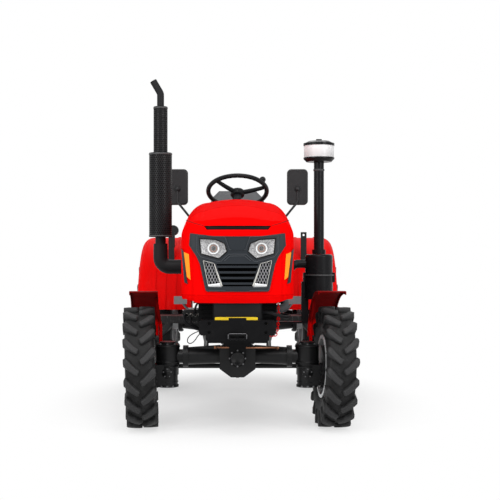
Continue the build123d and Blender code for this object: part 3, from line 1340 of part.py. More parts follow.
def brow(inset):
    """What the sloping brow above the slot cuts off the nose's top edge."""
    rise = BROW_TOP - BROW_Z
    s0 = HOOD_NOSE_S - BROW_BACK + inset * 1.4
    s1 = HOOD_NOSE_S + 2 * BROW_BACK + inset * 1.4
    half = HOOD_HALF + CUT_PAST
    return side_shape([(s0, BROW_Z - rise), (s1, BROW_Z + 2 * rise), (s0, BROW_Z + 2 * rise)], -half, half)


def grown(outline, by):
    """Outline pushed outward by a little, for clearances."""
    cx = sum(x for x, z in outline) / len(outline)
    cz = sum(z for x, z in outline) / len(outline)
    moved = []
    for x, z in outline:
        d = sqrt((x - cx) ** 2 + (z - cz) ** 2)
        moved.append((x + (x - cx) * by / d, z + (z - cz) * by / d))
    return moved


def through_nose(outline):
    """Outline of (x, z) pushed through the whole nose."""
    return front_shape(outline, HOOD_NOSE_S - NOSE_SIDE_BACK, HOOD_NOSE_S + NOSE_SIDE_BACK)


def nose_skin(proud, deep):
    return nose_prism(proud) - nose_prism(-deep)


def hood_hinge(side):
    """Lug inside the hood's rear edge with the eye of the hinge."""
    x0 = side * HOOD_EYE_IN
    x1 = side * HOOD_EYE_OUT
    past = side * CUT_PAST
    eye_r = HOOD_PIN_R + HOOD_EYE_WALL
    plate = side_shape([(HOOD_HINGE_S - 4 * eye_r, HOOD_HINGE_Z - 2 * eye_r),
                        (HOOD_HINGE_S - 4 * eye_r, HOOD_REAR_CROWN_Z),
                        (HOOD_HINGE_S - eye_r + 3, HOOD_REAR_CROWN_Z),
                        (HOOD_HINGE_S - eye_r + 3, HOOD_HINGE_Z - 4)],
                       x0, x1)
    plate = plate & hood_arch(HOOD_SHEET / 2)
    body = plate + across(x0, x1, HOOD_HINGE_S, HOOD_HINGE_Z, eye_r)
    return body - across(x0 - past, x1 + past, HOOD_HINGE_S, HOOD_HINGE_Z, HOOD_PIN_R + RUN_FIT)


def hood_shell():
    """One-piece hood: arched sheet, bowed nose with brow, slot, crease and foot, and the mask's opening."""
    outer = (hood_arch(0) & nose_body(0)) - brow(0)
    inner = (hood_arch(HOOD_SHEET) & nose_body(-HOOD_SHEET)) - brow(HOOD_SHEET)
    shell = outer - inner
    wide = HOOD_HALF + 10 * CUT_PAST
    front = HOOD_NOSE_S - NOSE_SIDE_BACK
    rear = HOOD_REAR_S + NOSE_SIDE_BACK
    low = HOOD_LOW - 2 * HOOD_NOSE_REACH
    shell = shell - block(-wide, wide, front, rear, low, HOOD_LOW)
    shell = shell - block(-wide, wide, HOOD_SIDE_S, rear, low, HOOD_SIDE_LOW)
    corner = [(wide, low), (VALANCE_CUT_X, low), (VALANCE_CUT_X, HOOD_LOW),
              (VALANCE_CUT_OUT, VALANCE_CUT_Z),
              (wide, VALANCE_CUT_Z)]
    for side in (-1, 1):
        shell = shell - front_shape(on_side(corner, side), front, HOOD_SIDE_S + CUT_PAST)
    shell = shell - through_nose(grown(both_halves(MASK_HALF_OUTLINE), FACE_GAP))
    slot = [(0, SLOT_LOW), (SLOT_LOW_HALF, SLOT_LOW), (SLOT_TOP_HALF, SLOT_TOP), (0, SLOT_TOP)]
    shell = shell - through_nose(both_halves(slot))
    for side in (-1, 1):
        shell = shell + hood_hinge(side)
    return shell


def inlet_mesh():
    """Crossed strips of the diamond mesh behind the left air inlet."""
    xs = [x for x, z in INLET_OUTLINE]
    zs = [z for x, z in INLET_OUTLINE]
    mid = (min(xs) + max(xs)) / 2
    tall = max(zs) - min(zs)
    strips = []
    for lean in (-1, 1):
        count = int((max(xs) - min(xs) + tall * MESH_LEAN) / MESH_PITCH)
        for i in range(count):
            x = mid + (i - (count - 1) / 2) * MESH_PITCH
            shift = lean * tall * MESH_LEAN / 2
            strips.append(through_nose([(x - shift, min(zs)), (x - shift + MESH_STRIP, min(zs)),
                                        (x + shift + MESH_STRIP, max(zs)), (x + shift, max(zs))]))
    net = strips[0].fuse(*strips[1:])
    net = net & through_nose(grown(INLET_OUTLINE, MESH_STRIP / 2))
    return net & nose_skin(-MESH_BACK, MASK_DEEP - MASK_INSET)


def grille_half(z):
    """Half width of the grille's opening at a height."""
    share = (z - GRILLE_LOW) / (GRILLE_TOP - GRILLE_LOW)
    return GRILLE_LOW_HALF + share * (GRILLE_TOP_HALF - GRILLE_LOW_HALF)


def grille_mask():
    """Nose mask with lamp and inlet openings, centre panel, grille bars and the trim by the side lamps."""
    skin = nose_skin(MASK_PROUD, MASK_DEEP)
    body = through_nose(both_halves(MASK_HALF_OUTLINE)) & skin
    panel = [(0, BADGE_LOW), (BADGE_LOW_HALF, BADGE_LOW), (BADGE_TOP_HALF, BADGE_TOP), (0, BADGE_TOP)]
    body = body + (through_nose(both_halves(panel)) & nose_skin(BADGE_PROUD, MASK_DEEP - MASK_INSET))
    for side in (-1, 1):
        for outline in (HEADLAMP_OUTLINE, INLET_OUTLINE):
            body = body - through_nose(on_side(outline, side))
    pitch = (GRILLE_TOP - GRILLE_LOW) / GRILLE_BARS
    for i in range(GRILLE_BARS + 1):
        z0 = max(GRILLE_LOW, GRILLE_LOW + (i - 0.5) * pitch + GRILLE_BAR / 2)
        z1 = min(GRILLE_TOP, GRILLE_LOW + (i + 0.5) * pitch - GRILLE_BAR / 2)
        slot = [(0, z0), (grille_half(z0), z0), (grille_half(z1), z1), (0, z1)]
        body = body - through_nose(both_halves(slot))
    net = inlet_mesh()
    body = body + net + mirrored(net)
    pieces = []
    for side in (-1, 1):
        pieces.append(through_nose(on_side(TRIM_OUTLINE, side)) & nose_skin(TRIM_PROUD, -SEAT_FIT))
    return solids_of(body, *pieces)


def headlamps():
    lens = []
    for side in (-1, 1):
        outline = grown(on_side(HEADLAMP_OUTLINE, side), -SEAT_FIT)
        lens.append(through_nose(outline) & nose_skin(LAMP_PROUD, LAMP_DEEP))
    return solids_of(*lens)


def side_lamps():
    lens = []
    for side in (-1, 1):
        outline = on_side(SIDE_LAMP_OUTLINE, side)
        lens.append(through_nose(outline) & nose_skin(SIDE_LAMP_PROUD, -SEAT_FIT))
    return solids_of(*lens)


# Driver's place

def dash_console():
    """Cowl behind the hood with a sloped instrument face, its foot and the hood's hinge ears."""
    half = [(0, DASH_LOW), (DASH_HALF, DASH_LOW), (DASH_HALF, DASH_SHOULDER_Z), (DASH_TOP_HALF, DASH_TOP),
            (0, DASH_TOP + DASH_CROWN)]
    front = front_shape(both_halves(half), DASH_S, DASH_END)
    crown = DASH_TOP + DASH_CROWN + CUT_PAST
    side = side_shape([(DASH_S, DASH_LOW), (DASH_END, DASH_LOW), (DASH_END, DASH_TOP - DASH_FACE_DROP),
                       (DASH_END - DASH_FACE_TOP, crown), (DASH_S, crown)], -DASH_HALF, DASH_HALF)
    body = front & side
    body = body + block(-DASH_FOOT_HALF, DASH_FOOT_HALF, DASH_S + DASH_FOOT_INSET,
                        DASH_END - DASH_FOOT_INSET,
                        GEARBOX_TOP + FACE_GAP, DASH_LOW + 1)
    eye_r = HOOD_PIN_R + HOOD_EYE_WALL
    inner = HOOD_EYE_OUT + 4 * PIVOT_SIDE
    for hand in (-1, 1):
        x0 = hand * inner
        x1 = hand * (inner + HOOD_EAR)
        body = body + block(x0, x1, HOOD_HINGE_S - eye_r, DASH_S + 2, HOOD_HINGE_Z - 4 * eye_r,
                            HOOD_HINGE_Z + eye_r / 2)
        body = body + across(hand * (HOOD_EYE_IN - HOOD_PIN_R), x1, HOOD_HINGE_S, HOOD_HINGE_Z, HOOD_PIN_R)
    return body


def column_way():
    """Direction of the steering column, up toward the driver."""
    tilt = radians(COLUMN_TILT)
    return Vector(0, sin(tilt), cos(tilt))


def column_place(distance):
    """A place on the column's axis, measured down from the middle of the steering wheel."""
    return point(0, WHEEL_S, WHEEL_Z) - column_way() * distance


def dash_face():
    """Everything in front of the dash's rear face, a little past it, for cutting pieces that seat there."""
    drop = DASH_TOP - DASH_FACE_DROP
    slope = (DASH_TOP + DASH_CROWN + CUT_PAST - drop) / DASH_FACE_TOP
    rise = 4 * DASH_FACE_DROP
    end = DASH_END + FACE_GAP
    lean = end + FACE_GAP
    return side_shape([(0, 0), (end, 0), (end, drop), (lean, drop), (lean - rise / slope, drop + rise),
                       (0, drop + rise)], -DASH_HALF, DASH_HALF)


def steering_column():
    """Tube from the dash's rear face up to the wheel's hub."""
    top = Plane(origin=column_place(WHEEL_HUB_DOWN + FACE_GAP), z_dir=column_way() * -1)
    low = (Align.CENTER, Align.CENTER, Align.MIN)
    tube = top * Cylinder(COLUMN_R, COLUMN_LENGTH, align=low)
    bore = top * Pos(0, 0, -1) * Cylinder(WHEEL_SHAFT_R + RUN_FIT, WHEEL_SHAFT_DEEP + 3, align=low)
    return tube - bore - dash_face()


def steering_wheel():
    """Rim, spokes, hub, shaft end and the spinner knob."""
    place = Plane(origin=point(0, WHEEL_S, WHEEL_Z), x_dir=(1, 0, 0), z_dir=column_way())
    low = (Align.CENTER, Align.CENTER, Align.MIN)
    grip = revolve(Plane.XZ * Pos(WHEEL_R, 0) * RegularPolygon(WHEEL_GRIP, 6), axis=Axis.Z)
    hub = Pos(0, 0, -WHEEL_HUB_DOWN) * Cylinder(WHEEL_HUB_R, WHEEL_HUB_DOWN + WHEEL_HUB_UP, align=low)
    body = hub
    root = WHEEL_HUB_R / 2
    for i in range(SPOKES):
        spoke = Pos(root, 0, -SPOKE_R / 2) * Rot(0, 90, 0) * Cylinder(SPOKE_R, WHEEL_R - root, align=low)
        body = body + Rot(0, 0, SPOKE_FIRST_DEG - i * 360 / SPOKES) * spoke
    body = body + grip
    shaft = Pos(0, 0, -WHEEL_HUB_DOWN - WHEEL_SHAFT_DEEP) * Cylinder(WHEEL_SHAFT_R, WHEEL_SHAFT_DEEP + 2,
                                                                     align=low)
    stalk = Cylinder(KNOB_STALK_R, KNOB_STALK, align=low) + Pos(0, 0, KNOB_STALK) * Sphere(KNOB_R)
    knob = Rot(0, 0, KNOB_DEG) * Pos(WHEEL_R, 0, 0) * stalk
    return place * (body + shaft + knob)


def footboards():
    """Floor plate on each side with a tall front lip, on two brackets off the gearbox."""
    boards = []
    z1 = FLOOR_Z + FLOOR_SHEET
    for side in (-1, 1):
        x0 = side * (GEARBOX_HALF + FLOOR_IN_GAP)
        x1 = side * FLOOR_OUT
        board = block(x0, x1, FLOOR_S, FLOOR_END, FLOOR_Z, z1)
        board = board + block(x0, x1, FLOOR_S - FLOOR_LIP_THICK, FLOOR_S + 1, z1 - FLOOR_LIP, z1)
        board = board + block(x1 - side * FLOOR_LIP_THICK, x1, FLOOR_S, FLOOR_END, z1 - FLOOR_LIP, z1)
        for s in (FLOOR_S, FLOOR_END - FLOOR_BRACKET):
            board = board + block(side * (GEARBOX_HALF + FACE_GAP), x0 + side * FLOOR_BRACKET, s,
                                  s + FLOOR_BRACKET,
                                  z1 - FLOOR_BRACKET_DEEP, FLOOR_Z + 1)
        boards.append(board)
    return solids_of(*boards)


def fender_profile():
    """Section of the left fender's sheet in (x, radius): inner wall, top and a rolled outer edge."""
    t = FENDER_SHEET
    r = FENDER_R
    turn = FENDER_ROUND
    out = FENDER_OUT
    inner = FENDER_IN
    foot = r - turn - FENDER_SKIRT
    k = turn * (1 - cos(pi / 4))
    k_in = (turn - t) * (1 - cos(pi / 4))
    return [Line((inner, FENDER_WALL_R), (inner, r)), Line((inner, r), (out - turn, r)),
            ThreePointArc((out - turn, r), (out - k, r - k), (out, r - turn)),
            Line((out, r - turn), (out, foot)), Line((out, foot), (out - t, foot)),
            Line((out - t, foot), (out - t, r - turn)),
            ThreePointArc((out - t, r - turn), (out - t - k_in, r - t - k_in), (out - turn, r - t)),
            Line((out - turn, r - t), (inner + t, r - t)), Line((inner + t, r - t),
                                                                (inner + t, FENDER_WALL_R)),
            Line((inner + t, FENDER_WALL_R), (inner, FENDER_WALL_R))]


def fender():
    """Left rear fender: an arched shell round the tyre with pressed ribs, an inner wall and its stay."""
    arc = FENDER_FRONT_DEG + FENDER_REAR_DEG
    arch = revolve(Plane.XZ * make_face(fender_profile()), axis=Axis.X, revolution_arc=arc)
    for i in range(FENDER_RIBS):
        x = FENDER_IN + FENDER_RIB_IN + i * FENDER_RIB_PITCH
        rib = Pos(x, FENDER_R) * Rectangle(FENDER_RIB, 2 * FENDER_RIB_PROUD)
        arch = arch + revolve(Plane.XZ * rib, axis=Axis.X, revolution_arc=arc)
    arch = Pos(0, ys(WHEELBASE), REAR_HUB_Z) * Rot(-FENDER_REAR_DEG, 0, 0) * arch
    z0 = REAR_HUB_Z + BRAKE_R + FACE_GAP
    foot = block(BRAKE_X - FENDER_FOOT_HALF, FENDER_IN + 2, WHEELBASE - FENDER_FOOT_HALF,
                 WHEELBASE + FENDER_FOOT_HALF, z0, z0 + FENDER_FOOT)
    stay = block(FENDER_IN, FENDER_IN + FENDER_SHEET, WHEELBASE - FENDER_STAY_HALF,
                 WHEELBASE + FENDER_STAY_HALF,
                 z0, REAR_HUB_Z + FENDER_WALL_R + FENDER_FOOT)
    return arch + foot + stay


def seat_mount():
    """Base on the lift cover, suspension box, seat pan and the stay behind the back."""
    z0 = LIFT_TOP + FACE_GAP
    s0 = SEAT_S + SEAT_BASE_S
    half = SEAT_BASE_HALF
    inner = SEAT_BOX_IN
    base = block(-half, half, s0, s0 + SEAT_BASE_LONG, z0, z0 + SEAT_BASE_THICK)
    box = block(-half + inner, half - inner, s0 + inner, s0 + SEAT_BASE_LONG - inner,
                z0 + SEAT_BASE_THICK - 1, SEAT_Z - SEAT_PAN + 1)
    pan_half = SEAT_HALF - SEAT_PAN_IN
    end = SEAT_S + SEAT_DEEP
    pan = block(-pan_half, pan_half, SEAT_S + SEAT_PAN_IN / 2, end, SEAT_Z - SEAT_PAN, SEAT_Z)
    top = SEAT_BACK_TOP - SEAT_STAY_SHORT
    stay = side_shape([(end - SEAT_STAY, SEAT_Z - SEAT_PAN), (end, SEAT_Z - SEAT_PAN),
                       (end + SEAT_BACK_LEAN, top),
                       (end + SEAT_BACK_LEAN - SEAT_STAY, top)], -SEAT_STAY_HALF, SEAT_STAY_HALF)
    return base + box + pan + stay


def seat_cushion():
    z0 = SEAT_Z + FACE_GAP
    pad = block(-SEAT_HALF, SEAT_HALF, SEAT_S, SEAT_S + SEAT_DEEP - SEAT_STAY - SEAT_BACK_GAP, z0,
                z0 + SEAT_PAD)
    return fillet(pad.edges().group_by(Axis.Z)[-1], SEAT_ROUND)


def seat_back():
    """Tapered back pad with cut upper corners, leaning with its stay."""
    z0 = SEAT_Z + SEAT_PAD + SEAT_BACK_GAP
    low = SEAT_Z - SEAT_PAN
    lean = SEAT_BACK_LEAN / (SEAT_BACK_TOP - SEAT_STAY_SHORT - low)
    front = SEAT_S + SEAT_DEEP - SEAT_STAY - FACE_GAP
    s0 = front + lean * (z0 - low)
    s1 = front + lean * (SEAT_BACK_TOP - low)
    side = side_shape([(s0 - SEAT_BACK_THICK, z0), (s0, z0), (s1, SEAT_BACK_TOP),
                       (s1 - SEAT_BACK_TOP_THICK, SEAT_BACK_TOP)], -SEAT_BACK_HALF, SEAT_BACK_HALF)
    c = SEAT_BACK_CORNER
    half = [(0, z0), (SEAT_BACK_HALF, z0), (SEAT_BACK_HALF, SEAT_BACK_TOP - c),
            (SEAT_BACK_HALF - c, SEAT_BACK_TOP), (0, SEAT_BACK_TOP)]
    return side & front_shape(both_halves(half), s0 - 2 * SEAT_BACK_THICK, s1 + CUT_PAST)


def mirrors():
    """Rounded mirror on each side with its bent arm from the dash."""
    pair = []
    for side in (-1, 1):
        x = side * MIRROR_X
        face = Pos(x, MIRROR_Z) * RectangleRounded(2 * MIRROR_HALF, MIRROR_TALL, MIRROR_CORNER)
        head = extrude(Plane.XZ.offset(-ys(MIRROR_S + MIRROR_THICK)) * face, MIRROR_THICK)
        head = fillet(head.edges().group_by(Axis.Y)[0], MIRROR_ROUND)
        arm = bent([(side * (DASH_HALF + FACE_GAP), MIRROR_S, MIRROR_ARM_Z),
                    (side * (DASH_HALF + MIRROR_ARM_OUT), MIRROR_S, MIRROR_ARM_Z),
                    (x, MIRROR_S, MIRROR_ARM_KNEE), (x, MIRROR_S, MIRROR_Z)], MIRROR_ARM_BEND, MIRROR_ARM_R)
        pair.append(head + arm)
    return solids_of(*pair)


def pedal(side):
    """Pedal arm from the gearbox's side with a pad that faces the driver."""
    s = DASH_END - PEDAL_S
    pad_s = s - PEDAL_REACH
    x = side * PEDAL_X
    arm = bent([(side * (GEARBOX_HALF + FACE_GAP), s, PEDAL_Z),
                (side * (PEDAL_X - PEDAL_PAD_HALF), s, PEDAL_Z),
                (x, pad_s + PEDAL_PAD, (PEDAL_PAD_LOW + PEDAL_PAD_TOP) / 2)], PEDAL_BEND, PEDAL_R)
    pad = block(x - PEDAL_PAD_HALF, x + PEDAL_PAD_HALF, pad_s, pad_s + PEDAL_PAD, PEDAL_PAD_LOW,
                PEDAL_PAD_TOP)
    return arm + pad


def gear_lever(x, s):
    """Lever with a boot on the gearbox and a round knob."""
    z0 = GEARBOX_TOP + FACE_GAP
    body = upright(x, s, z0, z0 + LEVER_BOOT, LEVER_BOOT_R)
    body = body + bar((x, s, z0 + LEVER_BOOT - 4), (x, s + LEVER_LEAN, LEVER_TOP), LEVER_R)
    return body + Pos(*point(x, s + LEVER_LEAN, LEVER_TOP)) * Sphere(LEVER_KNOB_R)


def on_fender(degrees):
    """Place along the tractor and height on the fender's top, by an angle from upright toward the front."""
    turn = radians(degrees)
    return WHEELBASE - FENDER_R * sin(turn), REAR_HUB_Z + FENDER_R * cos(turn)


def hand_lever(side):
    """Upright lever plate standing on the fender's front."""
    s, z = on_fender(HAND_LEVER_DEG)
    x0 = side * HAND_LEVER_X - HAND_LEVER_HALF
    x1 = side * HAND_LEVER_X + HAND_LEVER_HALF
    plate = block(x0, x1, s - HAND_LEVER_THICK, s, z - 2 * HAND_LEVER_HALF, HAND_LEVER_TOP)
    plate = plate - along((x0 + x1) / 2, s - HAND_LEVER_HALF, s + HAND_LEVER_HALF,
                          HAND_LEVER_TOP - HAND_LEVER_HALF,
                          HAND_LEVER_HOLE_R)
    return plate - across(x0 - CUT_PAST, x1 + CUT_PAST, WHEELBASE, REAR_HUB_Z, FENDER_R + FACE_GAP)


def work_lamp():
    """Round lamp on a stem on the right fender."""
    s, z = on_fender(WORK_LAMP_DEG)
    x = WORK_LAMP_X
    body = upright(x, s, z - WORK_LAMP_R, WORK_LAMP_Z, WORK_LAMP_STEM_R)
    body = body + along(x, s - WORK_LAMP_DEEP / 2, s + WORK_LAMP_DEEP / 2, WORK_LAMP_Z, WORK_LAMP_R)
    reach = WORK_LAMP_R + CUT_PAST
    return body - across(x - reach, x + reach, WHEELBASE, REAR_HUB_Z, FENDER_R + FACE_GAP)


def controls():
    """Pedals, gear levers, hand levers and the work lamp."""
    found = [pedal(-1), pedal(1), hand_lever(-1), hand_lever(1), work_lamp()]
    for x, back in ((-LEVER_X, -LEVER_STAGGER), (LEVER_X, 0), (0, 2 * LEVER_STAGGER)):
        found.append(gear_lever(x, LEVER_S + back))
    return solids_of(*found)


def fuel_tank():
    """Rounded tank under the hood's rear on a leg from the bell housing."""
    body = block(-TANK_HALF, TANK_HALF, ENGINE_END + TANK_FRONT, HOOD_REAR_S - TANK_SHORT, TANK_LOW,
                 TANK_TOP)
    body = fillet(body.edges().filter_by(Axis.Y), TANK_ROUND)
    s0 = ENGINE_END + RAIL_PAST + FACE_GAP
    leg = block(-TANK_LEG_HALF, TANK_LEG_HALF, s0, s0 + TANK_LEG, BELL_TOP + FACE_GAP,
                TANK_LOW + TANK_ROUND)
    return body + leg


def rear_lamps():
    """Lamp block on the back of each fender."""
    pair = []
    s, z = on_fender(-REAR_LAMP_DEG)
    for side in (-1, 1):
        x0 = side * REAR_LAMP_X - REAR_LAMP_HALF
        x1 = side * REAR_LAMP_X + REAR_LAMP_HALF
        lamp = block(x0, x1, s, s + REAR_LAMP_DEEP, z - REAR_LAMP_TALL, z + REAR_LAMP_DEEP / 2)
        seat = FENDER_R + FENDER_RIB_PROUD + FACE_GAP
        pair.append(lamp - across(x0 - CUT_PAST, x1 + CUT_PAST, WHEELBASE, REAR_HUB_Z, seat))
    return solids_of(*pair)


# Rear linkage

def link_vector(length):
    """Along a lower link from its front pin, as (s, z)."""
    turn = radians(LINK_REST_DEG)
    return length * cos(turn), length * sin(turn)


def tapered_bar(start, end, root, tip, x0, x1):
    """Flat bar in the (s, z) plane between two places, with a half height at each end and round ends."""
    run_s = end[0] - start[0]
    run_z = end[1] - start[1]
    length = sqrt(run_s ** 2 + run_z ** 2)
    up = (-run_z / length, run_s / length)
    body = side_shape([(start[0] + root * up[0], start[1] + root * up[1]),
                       (end[0] + tip * up[0], end[1] + tip * up[1]),
                       (end[0] - tip * up[0], end[1] - tip * up[1]),
                       (start[0] - root * up[0], start[1] - root * up[1])], x0, x1)
    return body + across(x0, x1, start[0], start[1], root) + across(x0, x1, end[0], end[1], tip)


def lift_arms():
    """Rockshaft with a tapered arm at each end, lowered."""
    body = across(-LIFT_ARM_X - LIFT_ARM_WIDE, LIFT_ARM_X + LIFT_ARM_WIDE, LIFT_S, LIFT_Z, LIFT_SHAFT_R)
    ds, dz = link_vector(LINK_LEVER)
    end = (LIFT_S + ds, LIFT_Z + dz)
    for side in (-1, 1):
        x0 = side * LIFT_ARM_X
        x1 = side * (LIFT_ARM_X + LIFT_ARM_WIDE)
        arm = tapered_bar((LIFT_S, LIFT_Z), end, LIFT_ARM_ROOT, LIFT_ARM_EYE, x0, x1)
        pin = across(x0, side * (LINK_X - LINK_WIDE / 2 - PIVOT_SIDE), end[0], end[1], LINK_PIN_R)
        body = body + arm + pin
    return body


def lift_rods():
    """The two rods that hang the lower links from the lift arms."""
    ds, dz = link_vector(LINK_LEVER)
    x0 = LIFT_ARM_X + LIFT_ARM_WIDE + PIVOT_SIDE
    x1 = LINK_X - LINK_WIDE / 2 - PIVOT_SIDE
    ends = ((LIFT_S + ds, LIFT_Z + dz), (LINK_S + ds, LINK_Z + dz))
    found = []
    for side in (-1, 1):
        x = side * (x0 + x1) / 2
        rod = bar((x, *ends[0]), (x, *ends[1]), LIFT_ROD_R)
        for s, z in ends:
            rod = rod + across(side * x0, side * x1, s, z, LIFT_ROD_EYE)
        for s, z in ends:
            rod = rod - across(side * (x0 - CUT_PAST), side * (x1 + CUT_PAST), s, z, LINK_PIN_R + RUN_FIT)
        found.append(rod)
    return solids_of(*found)


def lower_links():
    """The two lower links with a ball eye at the rear."""
    ds, dz = link_vector(LINK_LENGTH)
    ms, mz = link_vector(LINK_LEVER)
    half = LINK_TALL / 2
    end = (LINK_S + ds, LINK_Z + dz)
    found = []
    for side in (-1, 1):
        x0 = side * (LINK_X - LINK_WIDE / 2)
        x1 = side * (LINK_X + LINK_WIDE / 2)
        x = side * LINK_X
        body = tapered_bar((LINK_S, LINK_Z), end, half, half, x0, x1) + across(x0, x1, *end,
                                                                               half + LINK_EYE)
        body = body + across(x - BALL_WIDE / 2, x + BALL_WIDE / 2, *end, BALL_R)
        body = body - across(x - BALL_WIDE, x + BALL_WIDE, *end, BALL_HOLE_R)
        body = body - across(x - BALL_WIDE, x + BALL_WIDE, LINK_S, LINK_Z, LINK_PIN_R + RUN_FIT)
        pin = across(x1, side * (LIFT_ARM_X + LIFT_ARM_WIDE + PIVOT_SIDE), LINK_S + ms, LINK_Z + mz,
                     LINK_PIN_R)
        found.append(body + pin)
    return solids_of(*found)


def top_link_end():
    """Free end of the parked top link as (s, z)."""
    tilt = radians(TOP_LINK_TILT)
    return TOP_LINK_S - TOP_LINK_LENGTH * sin(tilt), TOP_LINK_Z + TOP_LINK_LENGTH * cos(tilt)


def top_link():
    """Threaded link with a turning barrel and an eye at each end, parked upright."""
    s1, z1 = top_link_end()
    low = (TOP_LINK_S, TOP_LINK_Z)
    body = bar((0, *low), (0, s1, z1), TOP_LINK_R)
    share = TOP_BARREL_INSET / TOP_LINK_LENGTH
    b0 = (0, low[0] + (s1 - low[0]) * share, low[1] + (z1 - low[1]) * share)
    b1 = (0, s1 - (s1 - low[0]) * share, z1 - (z1 - low[1]) * share)
    body = body + bar(b0, b1, TOP_BARREL_R)
    wide = TOP_EYE_WIDE / 2
    for s, z in (low, (s1, z1)):
        body = body + across(-wide, wide, s, z, TOP_EYE_R)
    body = body - across(-TOP_EYE_WIDE, TOP_EYE_WIDE, *low, TOP_LINK_PIN_R + RUN_FIT)
    return body - across(-TOP_EYE_WIDE, TOP_EYE_WIDE, s1, z1, TOP_HOLE_R)


# All nodes

def make_nodes():
    front_rubber, front_steel = front_wheel()
    rear_rubber, rear_steel = rear_wheel()
    left_knuckle = knuckle()
    left_guard = mudguard()
    left_fender = fender()
    nodes = {
        "front_axle": front_axle(), "front_support": front_support(), "front_plate": front_plate(),
        "battery": battery(), "radiator": radiator(), "radiator_hose": radiator_hose(),
        "engine_block": engine_block(), "engine_head": engine_head(), "exhaust_pipe": exhaust_pipe(),
        "muffler_guards": muffler_guards(), "air_cleaner": air_cleaner(), "intake_stack": intake_stack(),
        "precleaner_bowl": precleaner_bowl(), "gearbox_case": gearbox_case(),
        "rear_axle_housing": rear_axle_housing(), "lift_housing": lift_housing(), "pto_shaft": pto_shaft(),
        "drawbar": drawbar(), "hood": hood_shell(), "grille_mask": grille_mask(), "headlamps": headlamps(),
        "side_lamps": side_lamps(), "dash_console": dash_console(), "steering_column": steering_column(),
        "steering_wheel": steering_wheel(), "footboards": footboards(), "seat_mount": seat_mount(),
        "seat_cushion": seat_cushion(), "seat_back": seat_back(), "mirrors": mirrors(),
        "controls": controls(), "fuel_tank": fuel_tank(), "rear_lamps": rear_lamps(),
        "fender_left": left_fender, "fender_right": mirrored(left_fender),
        "tie_rod": tie_rod(), "lift_arms": lift_arms(), "lift_rods": lift_rods(),
        "lower_links": lower_links(), "top_link": top_link(),
    }
    for name, side in (("left", 1), ("right", -1)):
        hand = (lambda shape: shape) if side > 0 else mirrored
        nodes["knuckle_" + name] = steered(hand(left_knuckle), side)
        nodes["mudguard_" + name] = steered(hand(left_guard), side)
        nodes["front_tyre_" + name] = steered(hand(front_place() * front_rubber), side)
        nodes["front_rim_" + name] = steered(hand(front_place() * front_steel), side)
        nodes["rear_tyre_" + name] = hand(rear_place() * rear_rubber)
        nodes["rear_rim_" + name] = hand(rear_place() * rear_steel)
    return nodes


def main():
    os.makedirs("parts", exist_ok=True)
    for name, shape in make_nodes().items():
        export_step(shape, "parts/" + name + ".step")


if __name__ == "__main__":
    main()
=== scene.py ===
"""Looks of a compact farm tractor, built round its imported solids.

The frame gives every size and place in metres; the nose is toward -Y and the tractor's left is +X.
Sizes written in this file are in millimetres where a name or docstring says so.
"""
import json
import math

import bmesh
import bpy
import numpy as np
from bpy.props import FloatProperty, FloatVectorProperty, IntProperty, PointerProperty
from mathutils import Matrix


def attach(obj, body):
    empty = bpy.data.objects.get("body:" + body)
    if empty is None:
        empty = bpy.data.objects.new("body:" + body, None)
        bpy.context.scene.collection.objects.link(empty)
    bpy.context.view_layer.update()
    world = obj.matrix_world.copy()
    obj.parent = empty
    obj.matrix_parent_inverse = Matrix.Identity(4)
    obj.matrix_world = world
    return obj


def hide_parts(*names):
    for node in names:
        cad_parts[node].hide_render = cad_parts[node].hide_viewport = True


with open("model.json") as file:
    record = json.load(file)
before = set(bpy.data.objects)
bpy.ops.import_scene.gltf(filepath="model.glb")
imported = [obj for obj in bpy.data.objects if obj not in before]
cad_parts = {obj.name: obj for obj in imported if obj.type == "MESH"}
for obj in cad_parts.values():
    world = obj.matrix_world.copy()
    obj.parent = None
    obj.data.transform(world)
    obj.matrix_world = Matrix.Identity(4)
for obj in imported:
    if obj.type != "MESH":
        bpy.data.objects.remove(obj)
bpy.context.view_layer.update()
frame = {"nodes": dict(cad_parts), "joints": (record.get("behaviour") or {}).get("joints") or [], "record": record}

bl_info = {
    "name": "Farm tractor looks",
    "version": (1, 0, 0),
    "blender": (4, 5, 0),
    "location": "View3D > Sidebar > Tractor",
    "description": "Dresses the packed farm tractor with finishes, tyres, lamps, padding and small fittings",
    "category": "Object",
}

NODES = frame["nodes"]
JOINTS = {joint["name"]: joint for joint in frame["joints"]}
SIDES = (("left", 1), ("right", -1))
FRONT_AXLE_Y = float(JOINTS["steer_left"]["pos_m"][1])
MADE = {}  # finishes by name
FORWARD, UP = (0, -1, 0), (0, 0, 1)
FLOOR_RADIUS = 40.0

# Places in millimetres: x, s behind the front axle, and z
KINGPIN_X = 369
EXHAUST_AT = (-440, 400)
INTAKE_AT = (468, 430)
MIRROR_X, MIRROR_Z = 368, 1330


def at(places):
    """Places of (x, s, z) in millimetres, s behind the front axle, as metres in the frame."""
    p = np.asarray(places, float) / 1000
    return p + np.array([0.0, FRONT_AXLE_Y, 0.0])


# Shader expressions

